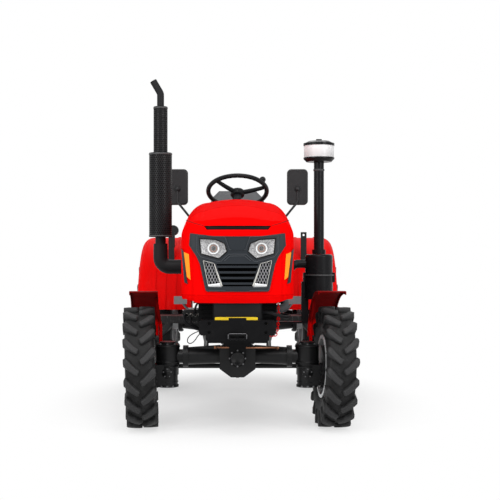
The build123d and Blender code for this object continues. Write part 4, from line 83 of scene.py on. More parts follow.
class Wire:
    """One output socket of a finish; sums and products on it add Math nodes."""

    def __init__(self, finish, socket):
        self.finish = finish
        self.socket = socket

    def math(self, operation, first, second=0.0):
        return self.finish.node("ShaderNodeMath", {"operation": operation}, {0: first, 1: second})

    def __add__(self, other):
        return self.math("ADD", self, other)

    __radd__ = __add__

    def __mul__(self, other):
        return self.math("MULTIPLY", self, other)

    __rmul__ = __mul__

    def __sub__(self, other):
        return self.math("SUBTRACT", self, other)

    def __rsub__(self, other):
        return self.math("SUBTRACT", other, self)

    def __truediv__(self, other):
        return self.math("DIVIDE", self, other)

    def __pow__(self, other):
        return self.math("POWER", self, other)

    def above(self, other):
        return self.math("GREATER_THAN", self, other)

    def angle_over(self, other):
        return self.math("ARCTAN2", self, other)

    def sine(self):
        return self.math("SINE", self)

    def size(self):
        return self.math("ABSOLUTE", self)

    def whole(self):
        return self.math("FLOOR", self)

    def rest(self):
        """What is left over after the whole number."""
        return self.math("FRACT", self)

    def smooth(self, start, end):
        """0 below start, 1 above end and a smooth step between."""
        settings = {"interpolation_type": "SMOOTHSTEP"}
        return self.finish.node("ShaderNodeMapRange", settings, {0: self, 1: start, 2: end, 3: 0.0, 4: 1.0})


class Finish:
    """The tree of nodes of a new material, or of another owner such as the world."""

    def __init__(self, name, owner=None, output="ShaderNodeOutputMaterial"):
        self.name = name
        self.owner = owner or bpy.data.materials.new(name)
        self.owner.use_nodes = True
        self.tree = self.owner.node_tree
        self.tree.nodes.clear()
        self.output = self.tree.nodes.new(output)

    def node(self, kind, settings=None, inputs=None, output=0):
        """Any node: its settings are set first, then its sockets get values or links."""
        made = self.tree.nodes.new(kind)
        for key, value in (settings or {}).items():
            setattr(made, key, value)
        for key, value in (inputs or {}).items():
            if isinstance(value, Wire):
                self.tree.links.new(value.socket, made.inputs[key])
            elif isinstance(value, (tuple, list)) and len(value) == 3 and made.inputs[key].type == "RGBA":
                made.inputs[key].default_value = (*value, 1.0)
            else:
                made.inputs[key].default_value = value
        return Wire(self, made.outputs[output])

    def place(self):
        return self.node("ShaderNodeTexCoord", output="Object")

    def parts(self):
        """X, Y and Z of the place on the object."""
        made = self.tree.nodes.new("ShaderNodeSeparateXYZ")
        self.tree.links.new(self.place().socket, made.inputs[0])
        return [Wire(self, socket) for socket in made.outputs]

    def noise(self, scale, detail=3.0, rough=0.55):
        return self.node("ShaderNodeTexNoise", {}, {"Vector": self.place(), "Scale": scale,
                                                    "Detail": detail, "Roughness": rough})

    def cells(self, scale):
        return self.node("ShaderNodeTexVoronoi", {}, {"Vector": self.place(), "Scale": scale})

    def mix(self, factor, first, second):
        return self.node("ShaderNodeMix", {"data_type": "RGBA"}, {0: factor, 6: first, 7: second}, output=2)

    def bump(self, height, distance, strength=1.0):
        return self.node("ShaderNodeBump", {}, {"Height": height, "Distance": distance, "Strength": strength})

    def done(self, **sockets):
        """Sets the Principled sockets, with spaces written as underscores, and keeps the material by its name."""
        values = {key.replace("_", " "): value for key, value in sockets.items()}
        MADE[self.name] = self.end(self.node("ShaderNodeBsdfPrincipled", {}, values))
        return self.owner

    def end(self, shader):
        """Links the last shader and returns the owner."""
        self.tree.links.new(shader.socket, self.output.inputs["Surface"])
        return self.owner

    def seen(self):
        """1 on rays from the camera, a mirror or a lens."""
        path = self.tree.nodes.new("ShaderNodeLightPath")
        camera, glossy, through = (Wire(self, path.outputs["Is %s Ray" % kind])
                                   for kind in ("Camera", "Glossy", "Transmission"))
        return camera + glossy + through

    def blend(self, factor, first, second):
        return self.node("ShaderNodeMixShader", {}, {0: factor, 1: first, 2: second})


def shade(colour, by):
    """A colour made lighter or darker."""
    return tuple(min(1.0, c * by) for c in colour)


# Finishes

def paint_red(colour, name="body_red"):
    """Glossy body paint: a faint mottle in the colour, soft orange peel and thin dust low down."""
    finish = Finish(name)
    z = finish.parts()[2]
    cloud = finish.noise(7.0, 4.0)
    dust = finish.noise(28.0, 6.0, 0.7).smooth(0.52, 0.80) * (1.0 - z.smooth(0.45, 0.95))
    tone = finish.mix(cloud, shade(colour, 0.93), tuple(colour))
    tone = finish.mix(dust * 0.10, tone, (0.30, 0.20, 0.17))
    peel = finish.noise(240.0, 2.0)
    return finish.done(Base_Color=tone, Roughness=cloud * 0.08 + dust * 0.2 + 0.46, Specular_IOR_Level=0.03,
                       Normal=finish.bump(peel, 0.0003, 0.20))


def mudguard_shaded_red(colour, rods):
    """Guards in the body red darkened as painted shade on their undersides, with the bent rods below them in the
    brighter plain body red.
    """
    finish = Finish("mudguard_shaded_red")
    z = finish.parts()[2]
    cloud = finish.noise(7.0, 4.0)
    # Painted shade: above the rods' height the guards take the darkened red instead of the body red.
    tone = finish.mix(cloud, shade(colour, 0.8), tuple(colour))
    tone = finish.mix(1.0 - z.smooth(0.530, 0.560), tone, tuple(rods))
    return finish.done(Base_Color=tone, Roughness=cloud * 0.08 + 0.40, Specular_IOR_Level=0.01)


HOOD_TOP_Z = 1.06
HOOD_ARC_S, HOOD_ARC_BOW = 0.15, 3.1
NOSE_BACK_S = -0.12
NOSE_FOLD_Z, NOSE_EDGE_X, NOSE_EDGE_TOP = 0.711, 0.226, 1.03


def hood_red(colour):
    """The body paint on the hood, with painted shade in its folds: the wide arc over its top, the nose's edges and
    its foot.
    """
    finish = Finish("hood_red")
    x, y, z = finish.parts()
    cloud = finish.noise(7.0, 4.0)
    arc = y - FRONT_AXLE_Y - HOOD_ARC_S + (x * x) * HOOD_ARC_BOW
    step = arc.smooth(-0.012, 0.012) * z.above(HOOD_TOP_Z)
    tone = finish.mix(cloud, shade(colour, 0.93), tuple(colour))
    # Painted shade: the top behind the wide arc is darkened.
    tone = finish.mix(step * 0.30, tone, shade(colour, 0.72))
    line = (1.0 - arc.size().smooth(0.004, 0.012)) * z.above(HOOD_TOP_Z)
    ahead = 1.0 - y.above(FRONT_AXLE_Y + NOSE_BACK_S)
    fold = (1.0 - (z - NOSE_FOLD_Z).size().smooth(0.001, 0.004)) * ahead
    edge = (1.0 - (x.size() - NOSE_EDGE_X).size().smooth(0.002, 0.012)) * ahead * (1.0 - z.above(NOSE_EDGE_TOP)) * 0.5
    # Painted shade: thin dark lines on the arc, on the fold at the nose's foot and along the nose's side edges.
    tone = finish.mix((line + fold + edge) * 0.40, tone, shade(colour, 0.40))
    return finish.done(Base_Color=tone, Roughness=cloud * 0.08 + 0.55, Specular_IOR_Level=0.002,
                       Normal=finish.bump(step, 0.004, 0.6))


def paint_black(colour, name, gloss=0.36):
    """Black paint over steel with thin dust in patches and a fine grain."""
    finish = Finish(name)
    dust = finish.noise(14.0, 6.0, 0.65).smooth(0.50, 0.85)
    tone = finish.mix(dust * 0.22, tuple(colour), (0.028, 0.027, 0.026))
    grain = finish.noise(420.0, 2.0)
    return finish.done(Base_Color=tone, Roughness=dust * 0.25 + gloss, Specular_IOR_Level=0.09,
                       Normal=finish.bump(grain, 0.0005, 0.3))


def cast_paint(colour, name):
    """Painted casting: sand-cast bumps and soft dust in patches."""
    finish = Finish(name)
    dust = finish.noise(11.0, 5.0, 0.6).smooth(0.48, 0.88)
    tone = finish.mix(dust * 0.30, tuple(colour), tuple(0.8 * c + 0.018 for c in colour))
    grain = finish.noise(170.0, 4.0, 0.7)
    return finish.done(Base_Color=tone, Roughness=dust * 0.2 + 0.34, Specular_IOR_Level=0.20,
                       Normal=finish.bump(grain, 0.0014, 0.55))


def rubber(colour):
    """Tyre rubber: painted shade between the lugs and on the sidewalls, and paler lug tops as wear and painted
    highlight, from each point's stored height toward the lug tips; with grain and scuffs.
    """
    finish = Finish("tyre_rubber")
    scuff = finish.noise(22.0, 6.0, 0.72).smooth(0.48, 0.78)
    fine = finish.noise(140.0, 4.0, 0.7)
    lug_wear_and_light = finish.node("ShaderNodeAttribute", {"attribute_name": "lug_wear_and_light"}, output="Fac")
    # Painted light: low on the tyre the rubber is darkened as painted shade, and at the lug tops it is lightened as
    # wear and painted highlight.
    tone = finish.mix(lug_wear_and_light, shade(colour, 0.45), shade(colour, 1.5))
    tone = finish.mix(scuff * 0.45, tone, shade(colour, 2.3))
    tone = finish.mix(fine.smooth(0.55, 0.75) * 0.25, tone, shade(colour, 0.5))
    return finish.done(Base_Color=tone, Roughness=0.62 - 0.12 * scuff, Specular_IOR_Level=0.20,
                       Normal=finish.bump(fine, 0.0012, 0.5))


def bright_steel(name, colour, rough=0.3):
    """Bare or plated metal with faint drawn streaks."""
    finish = Finish(name)
    streak = finish.noise(90.0, 4.0, 0.6)
    tone = finish.mix(streak * 0.4, tuple(colour), shade(colour, 0.7))
    return finish.done(Base_Color=tone, Metallic=0.9, Roughness=streak * 0.2 + rough)


def silver_paint(colour):
    """Wheel paint: pale silver with dull dust."""
    finish = Finish("rim_silver")
    dust = finish.noise(16.0, 5.0).smooth(0.45, 0.8)
    tone = finish.mix(dust * 0.4, tuple(colour), (0.30, 0.29, 0.27))
    return finish.done(Base_Color=tone, Metallic=0.35, Roughness=dust * 0.2 + 0.34)


def moulded(name, colour, rough=0.42, scale=900.0):
    """Moulded plastic with a fine leathery grain."""
    finish = Finish(name)
    grain = finish.cells(scale)
    cloud = finish.noise(20.0, 4.0)
    tone = finish.mix(cloud * 0.5, tuple(colour), shade(colour, 1.3))
    return finish.done(Base_Color=tone, Roughness=cloud * 0.12 + rough, Specular_IOR_Level=0.16,
                       Normal=finish.bump(grain, 0.0004, 0.4))


def lens(name, colour, alpha, rough=0.08):
    """Lamp lens with fine moulded flutes."""
    finish = Finish(name)
    x, _, z = finish.parts()
    flutes = ((x * 900.0).sine() * (z * 900.0).sine()) * 0.5 + 0.5
    tone = finish.mix(flutes * 0.35, tuple(colour), shade(colour, 1.3))
    return finish.done(Base_Color=tone, Roughness=rough, Alpha=alpha, Specular_IOR_Level=0.14,
                       Normal=finish.bump(flutes, 0.0006, 0.4))


def bowl_plastic():
    """Milky clear bowl: paler above and a darker grey towards its foot."""
    finish = Finish("bowl_clear")
    z = finish.parts()[2]
    high = z.smooth(1.475, 1.535)
    cloud = finish.noise(30.0, 4.0)
    tone = finish.mix(high, (0.50, 0.49, 0.495), (0.70, 0.69, 0.695))
    return finish.done(Base_Color=finish.mix(cloud * 0.25, tone, (0.60, 0.60, 0.60)), Roughness=0.30,
                       Specular_IOR_Level=0.2, Alpha=0.97)


def reflector_silver():
    """Lamp reflector: plated facets, painted in bright and dark tones as painted reflection."""
    finish = Finish("reflector_silver")
    facets = finish.cells(150.0)
    fine = finish.noise(300.0, 3.0)
    speck = finish.noise(260.0, 2.0).smooth(0.56, 0.66)
    # Painted reflection: the facets are painted bright and dark as lit and unlit facets of the plating.
    tone = finish.mix(facets.smooth(0.15, 0.75), (0.68, 0.67, 0.67), (0.27, 0.27, 0.28))
    tone = finish.mix(speck * 0.8, tone, (0.06, 0.06, 0.065))
    return finish.done(Base_Color=tone, Metallic=0.25, Roughness=0.22 + fine * 0.15,
                       Normal=finish.bump(facets, 0.003, 0.7))


def lever_paint(colour):
    """Levers and pedals: black up at the hand levers and the work lamp, pale bare metal down at the pedals."""
    finish = Finish("lever_paint")
    z = finish.parts()[2]
    pedal = 1.0 - z.above(0.76)
    streak = finish.noise(60.0, 4.0)
    tone = finish.mix(pedal, tuple(colour), (0.30, 0.30, 0.31))
    return finish.done(Base_Color=finish.mix(streak * 0.3, tone, (0.04, 0.04, 0.04)), Metallic=pedal * 0.6,
                       Roughness=0.32 + streak * 0.15, Specular_IOR_Level=0.2)


def vinyl(colour):
    """Seat vinyl: pebbled grain and a slightly worn sheen."""
    finish = Finish("seat_vinyl")
    pebble = finish.cells(420.0)
    wear = finish.noise(12.0, 4.0)
    tone = finish.mix(wear * 0.5, tuple(colour), shade(colour, 1.4))
    return finish.done(Base_Color=tone, Roughness=wear * 0.15 + 0.45, Specular_IOR_Level=0.35,
                       Normal=finish.bump(pebble, 0.0008, 0.5))


# Corners of an inlet in the mask, as (x, z) in metres: outer top, inner top, inner foot and outer foot
INLET = ((0.172, 0.885), (0.116, 0.870), (0.079, 0.754), (0.146, 0.752))


def mask_plastic(colour):
    """Nose mask: dark grained plastic, with the diamond mesh of the two slanted inlets a paler grey."""
    finish = Finish("mask_grey")
    x, _, z = finish.parts()
    wide = x.size()
    (out_x, out_z), (in_x, in_z), (foot_x, foot_z), (heel_x, heel_z) = INLET
    inner = foot_x + (z - foot_z) * ((in_x - foot_x) / (in_z - foot_z))
    outer = heel_x + (z - heel_z) * ((out_x - heel_x) / (out_z - heel_z))
    roof = in_z + (wide - in_x) * ((out_z - in_z) / (out_x - in_x))
    inlet = wide.above(inner) * (1.0 - wide.above(outer)) * z.above(heel_z) * (1.0 - z.above(roof))
    grain = finish.cells(700.0)
    cloud = finish.noise(20.0, 4.0)
    tone = finish.mix(cloud * 0.5, tuple(colour), shade(colour, 1.3))
    return finish.done(Base_Color=finish.mix(inlet, tone, (0.22, 0.22, 0.23)), Roughness=cloud * 0.12 + 0.34,
                       Specular_IOR_Level=0.20, Normal=finish.bump(grain, 0.0004, 0.4))


def guard_holes(turn, z, count):
    """Staggered round holes on an upright tube: 1 inside a hole, by angle round the axis and height."""
    row = z / GUARD_PITCH
    shift = (row.whole() * 0.5).rest()
    u = (turn * (count / (2 * math.pi)) + shift + 64.0).rest() - 0.5
    v = row.rest() - 0.5
    return 1.0 - ((u * u + v * v) ** 0.5).smooth(0.27, 0.38)


GUARD_STEP_Z = 1.498
GUARD_PITCH = 0.0115
GUARD_COUNTS = (34, 22)


def perforated(colour):
    """Punched heat guard: dark sheet with rows of round holes, more of them on the wide lower guard."""
    finish = Finish("guard_black")
    x, y, z = finish.parts()
    axis = at([*EXHAUST_AT, 0])
    turn = (y - axis[1]).angle_over(x - axis[0])
    upper = z.above(GUARD_STEP_Z)
    wide, narrow = (guard_holes(turn, z, count) for count in GUARD_COUNTS)
    holes = wide * (1.0 - upper) + narrow * upper
    dust = finish.noise(18.0, 5.0, 0.6).smooth(0.5, 0.8)
    tone = finish.mix(dust * 0.3, tuple(colour), (0.030, 0.029, 0.028))
    # The holes are painted near black: partly the black pipe behind them, partly painted shade inside the guard.
    return finish.done(Base_Color=finish.mix(holes, tone, (0.001, 0.001, 0.001)), Roughness=0.34 + holes * 0.5,
                       Specular_IOR_Level=0.14, Normal=finish.bump(1.0 - holes, 0.003, 0.9))


def tread_plate(colour):
    """Black floor plate with a raised diamond tread and worn pale tips."""
    finish = Finish("tread_plate")
    x, y, _ = finish.parts()
    a = ((x + y) * 55.0).rest() - 0.5
    b = ((x - y) * 55.0 + 64.0).rest() - 0.5
    side = (((x + y) * 55.0).whole() * 0.5).rest().above(0.25)
    tip = (1.0 - ((a * a) * (side * 26.0 + 4.0) + (b * b) * (30.0 - side * 26.0)).smooth(0.5, 1.0))
    wear = finish.noise(40.0, 4.0).smooth(0.45, 0.75) * tip
    tone = finish.mix(wear * 0.6, tuple(colour), (0.16, 0.155, 0.15))
    return finish.done(Base_Color=tone, Roughness=0.5, Specular_IOR_Level=0.4, Normal=finish.bump(tip, 0.0025, 0.9))


def mirror_glass():
    """Silvered glass with faint smears."""
    finish = Finish("mirror_glass")
    smear = finish.noise(9.0, 5.0)
    return finish.done(Base_Color=finish.mix(smear * 0.3, (0.86, 0.88, 0.90), (0.70, 0.72, 0.74)), Metallic=1.0,
                       Roughness=smear * 0.06 + 0.02)


# Meshes from arrays

def unit(vectors):
    """Vectors made one long."""
    return np.asarray(vectors, float) / np.linalg.norm(vectors, axis=-1, keepdims=True)


def square_to(axis):
    """An axis made one long, and two unit vectors square to it and to each other."""
    axis = unit(axis)
    one = unit(np.cross(axis, np.eye(3)[np.argmin(np.abs(axis))]))
    return axis, one, np.cross(axis, one)


def turns(count):
    """Angles spread evenly round a circle."""
    return np.linspace(0, 2 * np.pi, count, endpoint=False)


def mesh_points(mesh):
    """A mesh's points as an array (n, 3)."""
    flat = np.empty(len(mesh.vertices) * 3)
    mesh.vertices.foreach_get("co", flat)
    return flat.reshape(-1, 3)


def shown(name, shape, finish, body="chassis", smooth=True):
    """A mesh object of a (points, faces) shape, doubles merged and faces outward, riding on a body."""
    points, faces = shape
    mesh = bpy.data.meshes.new(name)
    mesh.from_pydata(np.asarray(points).tolist(), [], np.asarray(faces).tolist())
    shell = bmesh.new()
    shell.from_mesh(mesh)
    bmesh.ops.remove_doubles(shell, verts=shell.verts, dist=1e-6)
    bmesh.ops.recalc_face_normals(shell, faces=shell.faces)
    shell.to_mesh(mesh)
    shell.free()
    mesh.validate()
    mesh.polygons.foreach_set("use_smooth", np.full(len(mesh.polygons), smooth))
    mesh.materials.append(MADE[finish])
    piece = bpy.data.objects.new(name, mesh)
    bpy.context.scene.collection.objects.link(piece)
    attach(piece, body)
    return piece


def grid_faces(rows, columns, close_rows=False, close_columns=False):
    """Quads of a grid of rows by columns, wrapping round where closed."""
    r = np.arange(rows if close_rows else rows - 1)
    c = np.arange(columns if close_columns else columns - 1)
    a, b = np.meshgrid(r, c, indexing="ij")
    down = (a + 1) % rows
    along = (b + 1) % columns
    return np.stack([a * columns + b, down * columns + b, down * columns + along, a * columns + along],
                    axis=-1).reshape(-1, 4)


def copies(many, faces):
    """One shape's faces repeated for every copy of its points in many (copies, points, 3)."""
    start = np.arange(len(many))[:, None, None] * many.shape[1]
    return many.reshape(-1, 3), (faces[None] + start).reshape(-1, 4)


def joined(parts):
    """Several (points, faces) pairs as one."""
    points, faces, start = [], [], 0
    for some, corners in parts:
        points.append(some)
        faces.append(corners + start)
        start += len(some)
    return np.concatenate(points), np.concatenate(faces)


def smooth_line(points, steps):
    """Catmull-Rom curve through points (n, d), steps a stretch, as one array."""
    p = np.asarray(points, float)
    ends = np.concatenate([2 * p[:1] - p[1:2], p, 2 * p[-1:] - p[-2:-1]])
    t = np.linspace(0, 1, steps, endpoint=False)[None, :, None]
    a, b, c, d = (ends[i:len(ends) - 3 + i, None, :] for i in range(4))
    line = 0.5 * (2 * b + (c - a) * t + (2 * a - 5 * b + 4 * c - d) * t ** 2 + (3 * b - a - 3 * c + d) * t ** 3)
    return np.concatenate([line.reshape(-1, p.shape[1]), p[-1:]])


def frames_along(path):
    """Two unit vectors square to a path at each point, from its tangents and one steady direction."""
    way = unit(np.gradient(path, axis=0))
    steady = np.eye(3)[np.argmin(np.ptp(path, axis=0))]
    one = unit(np.cross(way, steady))
    return one, np.cross(way, one)


def tube(path, radius, around=12, closed=False):
    """A round section carried along a path: point = path + radius (cos v one + sin v two), ends drawn shut."""
    path = np.asarray(path, float)
    if closed:
        one, two = frames_along(np.concatenate([path[-2:], path, path[:2]]))
        one, two = one[2:-2], two[2:-2]
    else:
        one, two = frames_along(path)
    radius = np.broadcast_to(np.asarray(radius, float), (len(path),))
    v = turns(around)
    ring = np.cos(v)[None, :, None] * one[:, None] + np.sin(v)[None, :, None] * two[:, None]
    points = path[:, None] + radius[:, None, None] * ring
    if not closed:
        start = np.repeat(path[:1, None], around, axis=1)
        end = np.repeat(path[-1:, None], around, axis=1)
        points = np.concatenate([start, points, end])
    return points.reshape(-1, 3), grid_faces(len(points), around, close_rows=closed, close_columns=True)


def turned(profile, centre, axis, around=40):
    """A profile of (radius, height) turned about an axis through a centre; it starts and ends on the axis."""
    profile = np.asarray(profile, float)
    axis, one, two = square_to(axis)
    v = turns(around)
    ring = np.cos(v)[:, None] * one + np.sin(v)[:, None] * two
    points = (np.asarray(centre) + profile[:, None, 1:] * axis) + profile[:, None, :1] * ring[None]
    return points.reshape(-1, 3), grid_faces(len(profile), around, close_columns=True)


def sleeve(centre, axis, radius, low, high, grow):
    """A flat ring round an axis: it stands proud of a radius by grow, between two heights."""
    profile = [(radius - 0.004, low), (radius + grow, low + 0.001), (radius + grow, high - 0.001),
               (radius - 0.004, high)]
    return turned(profile, centre, axis, 56)[0], grid_faces(4, 56, True, True)


def rounded_box(half, centre, power=6.0, rows=25, columns=48):
    """A superellipsoid: each coordinate is a signed power of the sphere's, so flats meet in soft edges."""
    a = np.linspace(-np.pi / 2, np.pi / 2, rows)[:, None]
    b = turns(columns)[None, :]
    soft = 2.0 / power

    def signed(value):
        return np.sign(value) * np.abs(value) ** soft
    x = signed(np.cos(a)) * signed(np.cos(b))
    y = signed(np.cos(a)) * signed(np.sin(b))
    z = signed(np.sin(a)) * np.ones_like(b)
    points = np.stack([x, y, z], axis=-1) * np.asarray(half) + np.asarray(centre)
    return points.reshape(-1, 3), grid_faces(rows, columns, close_columns=True)


def resampled(outline, count, closed=True):
    """Points spread evenly along a polyline, corners kept near."""
    p = np.asarray(outline, float)
    if closed:
        p = np.concatenate([p, p[:1]])
    run = np.concatenate([[0], np.cumsum(np.linalg.norm(np.diff(p, axis=0), axis=1))])
    t = np.linspace(0, run[-1], count, endpoint=not closed)
    return np.stack([np.interp(t, run, p[:, i]) for i in range(p.shape[1])], axis=1)


def hexes(places, axis, across, tall):
    """Hexagon bolt heads on washers: a short profile turned in six steps, repeated at every place."""
    r = across / 2
    profile = [(0, -0.001), (1.25 * r, -0.001), (1.25 * r, 0.12 * tall), (r, 0.12 * tall), (r, 0.85 * tall),
               (0.86 * r, tall), (0, tall)]
    points, faces = turned(profile, (0, 0, 0), axis, 6)
    return copies(points[None] + np.asarray(places, float)[:, None], faces)


def circle_of(centre, axis, radius, count):
    """Places spread round an axis."""
    _, one, two = square_to(axis)
    v = turns(count)
    return np.asarray(centre) + radius * (np.cos(v)[:, None] * one + np.sin(v)[:, None] * two)


# The nose's own surface, in millimetres

NOSE_S = -300.0
CORNER = (214.0, 34.0)
CHEEK = (268.0, 74.0)
SIDE = (290.0, 150.0)
HEADLAMP = ((192, 997), (110, 991), (64, 971), (52, 930), (93, 894), (184, 918))
PROJECTOR = (121.0, 946.0)


def circle_through(a, b, c):
    """Centre and radius of the circle through three points."""
    a, b, c = np.asarray([a, b, c], float)
    sides = 0.5 * np.array([b @ b - a @ a, c @ c - a @ a])
    centre = np.linalg.solve(np.stack([b - a, c - a]), sides)
    return centre, np.linalg.norm(centre - a)


def nose(x, z, proud):
    """Points on the nose: two arcs in plan give how far back it lies at x; proud is toward the front."""
    x, z, proud = np.broadcast_arrays(np.asarray(x, float), np.asarray(z, float), np.asarray(proud, float))
    wide = np.abs(x)
    bow = (CORNER[0] ** 2 + CORNER[1] ** 2) / (2 * CORNER[1])
    front = bow - np.sqrt(bow ** 2 - np.minimum(wide, CORNER[0]) ** 2)
    centre, radius = circle_through(CORNER, CHEEK, SIDE)
    cheek = centre[1] - np.sqrt(np.maximum(radius ** 2 - (wide - centre[0]) ** 2, 0))
    back = np.where(wide <= CORNER[0], front, cheek)
    return at(np.stack([x, NOSE_S + back - proud, z], axis=-1))


def band(path, wide, low, high, steps=24, closed=False):
    """A strip on the nose: its path in (x, z) is widened to both sides and raised from low to high."""
    path = resampled(path, steps, closed)
    way = np.gradient(np.concatenate([path[-2:], path, path[:2]]), axis=0)[2:-2] if closed \
        else np.gradient(path, axis=0)
    way = unit(way)
    side = np.stack([-way[:, 1], way[:, 0]], axis=1)
    wide = np.broadcast_to(np.asarray(wide, float), (len(path),))
    across = np.array([-0.5, -0.5, -0.36, 0.36, 0.5, 0.5])
    rise = np.array([0.0, 0.6, 1.0, 1.0, 0.6, 0.0])
    flat = path[:, None] + side[:, None] * (wide[:, None] * across)[..., None]
    points = nose(flat[..., 0], flat[..., 1], low + (high - low) * rise[None])
    if not closed:
        start = np.repeat(points[:1].mean(axis=1, keepdims=True), 6, axis=1)
        end = np.repeat(points[-1:].mean(axis=1, keepdims=True), 6, axis=1)
        points = np.concatenate([start, points, end])
    return points.reshape(-1, 3), grid_faces(len(points), 6, close_rows=closed, close_columns=True)


def bowl(outline, centre, scale, proud, thick):
    """A shell between an outline and its shrunken copies: scale and proud give each ring from rim to middle."""
    edge = resampled(outline, 96)
    middle = np.asarray(centre, float)
    rings = middle + (edge - middle)[None] * np.asarray(scale, float)[:, None, None]
    front = nose(rings[..., 0], rings[..., 1], np.asarray(proud, float)[:, None])
    back = nose(rings[..., 0], rings[..., 1], np.asarray(proud, float)[:, None] - thick)
    points = np.concatenate([front, back[::-1]])
    return points.reshape(-1, 3), grid_faces(len(points), 96, close_rows=True, close_columns=True)


def strips(rows):
    """A function that makes each row's band on one side; a row is a path and the band's sizes."""
    return lambda side: joined([band(flipped(path, side), *sizes) for path, *sizes in rows])


def both_sides(make):
    """What a function makes for the left and for the mirrored right side, as one."""
    return joined([make(1.0), make(-1.0)])


def flipped(outline, side):
    return [(side * x, z) for x, z in outline]


# Tyres

def wheel_frame(joint, side):
    """Centre and turning matrix of a wheel: its X axis points outward along the joint's axis."""
    out = unit(np.array(JOINTS[joint]["axis"]) * side)
    up = unit(UP - out * (UP @ out))
    return np.array(JOINTS[joint]["pos_m"]), np.stack([out, np.cross(up, out), up], axis=1)


def ring_points(x, r, angle):
    """Points of the wheel's own frame from width, radius and angle arrays."""
    return np.stack([x, -r * np.cos(angle), r * np.sin(angle)], axis=-1)


BEAD_WIDE, BEAD_SUNK = 0.66, 0.002
# Sidewall from bead to tread: shares of the half width and of the height above the bead
SIDEWALL = ((0.74, 0.10), (0.78, 0.14), (0.76, 0.17), (0.87, 0.34), (0.91, 0.54), (0.89, 0.74), (0.80, 0.92),
            (0.45, 0.985))


def tyre_carcass(size, around):
    """A closed tube turned about the axle: a smooth line through bead, bulge, shoulder and tread, and back inside."""
    half = size.width / 2
    tread = size.radius - size.lug_height
    tall = tread - size.bead
    side = [(half * BEAD_WIDE, size.bead - BEAD_SUNK)]
    side += [(half * wide, size.bead + high * tall) for wide, high in SIDEWALL]
    line = smooth_line(side + [(0.0, tread)] + [(-x, r) for x, r in reversed(side)], 4)
    angle = turns(around)
    x, a = np.meshgrid(line[:, 0], angle)
    r = np.broadcast_to(line[:, 1], x.shape)
    return ring_points(x, r, a).reshape(-1, 3), grid_faces(around, len(line), close_rows=True, close_columns=True)


def tyre_lugs(size):
    """All lugs: a flat-topped bar swept from the tread's middle to the shoulder.

    Along u the bar leaves the middle nearly square to the tread's line, then trails; across v it is a hump with
    steep sides. Its height shrinks at the nose, and its outer end drops over the shoulder to the sidewall.
    """
    half = size.width / 2
    u = np.linspace(0, 1, 19)[:, None]
    v = np.linspace(-1, 1, 13)[None, :]
    trail = size.lug_sweep * (0.30 * u + 0.70 * u ** 1.6) / size.radius
    end = np.sqrt(1 - (1 - np.clip(u / 0.10, 0, 1)) ** 2)
    base = size.radius - size.lug_height
    over = np.clip((u - 0.80) / 0.20, 0, 1)
    top = size.radius - 0.14 * size.lug_height * u - 0.50 * size.lug_height * over ** 2
    root = base - 0.010 - 0.055 * over ** 1.5
    hump = np.sin(np.clip((1 - np.abs(v)) / 0.30, 0, 1) * np.pi / 2) ** 0.7
    r = root + (top - root) * hump * (0.25 + 0.75 * end)
    wide = size.lug_width * (0.60 - 0.14 * hump) * (0.55 + 0.45 * end) * (1 + 0.10 * u)
    slope = size.lug_sweep * (0.30 + 1.12 * u ** 0.6) / (half * 0.97)
    long = np.sqrt(1 + slope ** 2)
    x = np.clip(half * (0.03 + 0.95 * u) - v * wide * slope / long, 0.0, half * 0.985)
    a = trail + v * wide / long / size.radius
    rim = np.zeros((1, v.shape[1]))
    x = np.concatenate([np.full_like(rim, x[0].mean()), x, np.full_like(rim, x[-1].mean())])
    r = np.concatenate([np.full_like(rim, root[0, 0]), r, np.full_like(rim, root[-1, 0])])
    a = np.concatenate([np.full_like(rim, a[0].mean()), a, np.full_like(rim, a[-1].mean())])
    turn = np.arange(size.lugs) * 2 * np.pi / size.lugs
    parts = []
    for sign, shift in ((1, 0.0), (-1, 0.5)):
        angle = a[None] + turn[:, None, None] + shift * 2 * np.pi / size.lugs
        many = ring_points(np.broadcast_to(sign * x, angle.shape), np.broadcast_to(r, angle.shape), angle)
        parts.append(copies(many.reshape(size.lugs, -1, 3), grid_faces(len(a), v.shape[1], close_columns=True)))
    return joined(parts)


class TyreSize(bpy.types.PropertyGroup):
    """Sizes of one pair of tyres."""

    radius: FloatProperty(name="Radius", description="Out to the lug tips", default=0.32, unit="LENGTH")
    width: FloatProperty(name="Width", description="Across the tread", default=0.165, unit="LENGTH")
    bead: FloatProperty(name="Bead radius", description="Where the tyre meets the rim", default=0.158, unit="LENGTH")
    lug_height: FloatProperty(name="Lug height", description="Lugs above the tread", default=0.022, unit="LENGTH")
    lug_width: FloatProperty(name="Lug width", description="Across one lug", default=0.036, unit="LENGTH")
    lug_sweep: FloatProperty(name="Lug sweep", description="How far a lug trails", default=0.078, unit="LENGTH")
    lugs: IntProperty(name="Lugs a side", description="Lugs on each side of the tread", default=18)


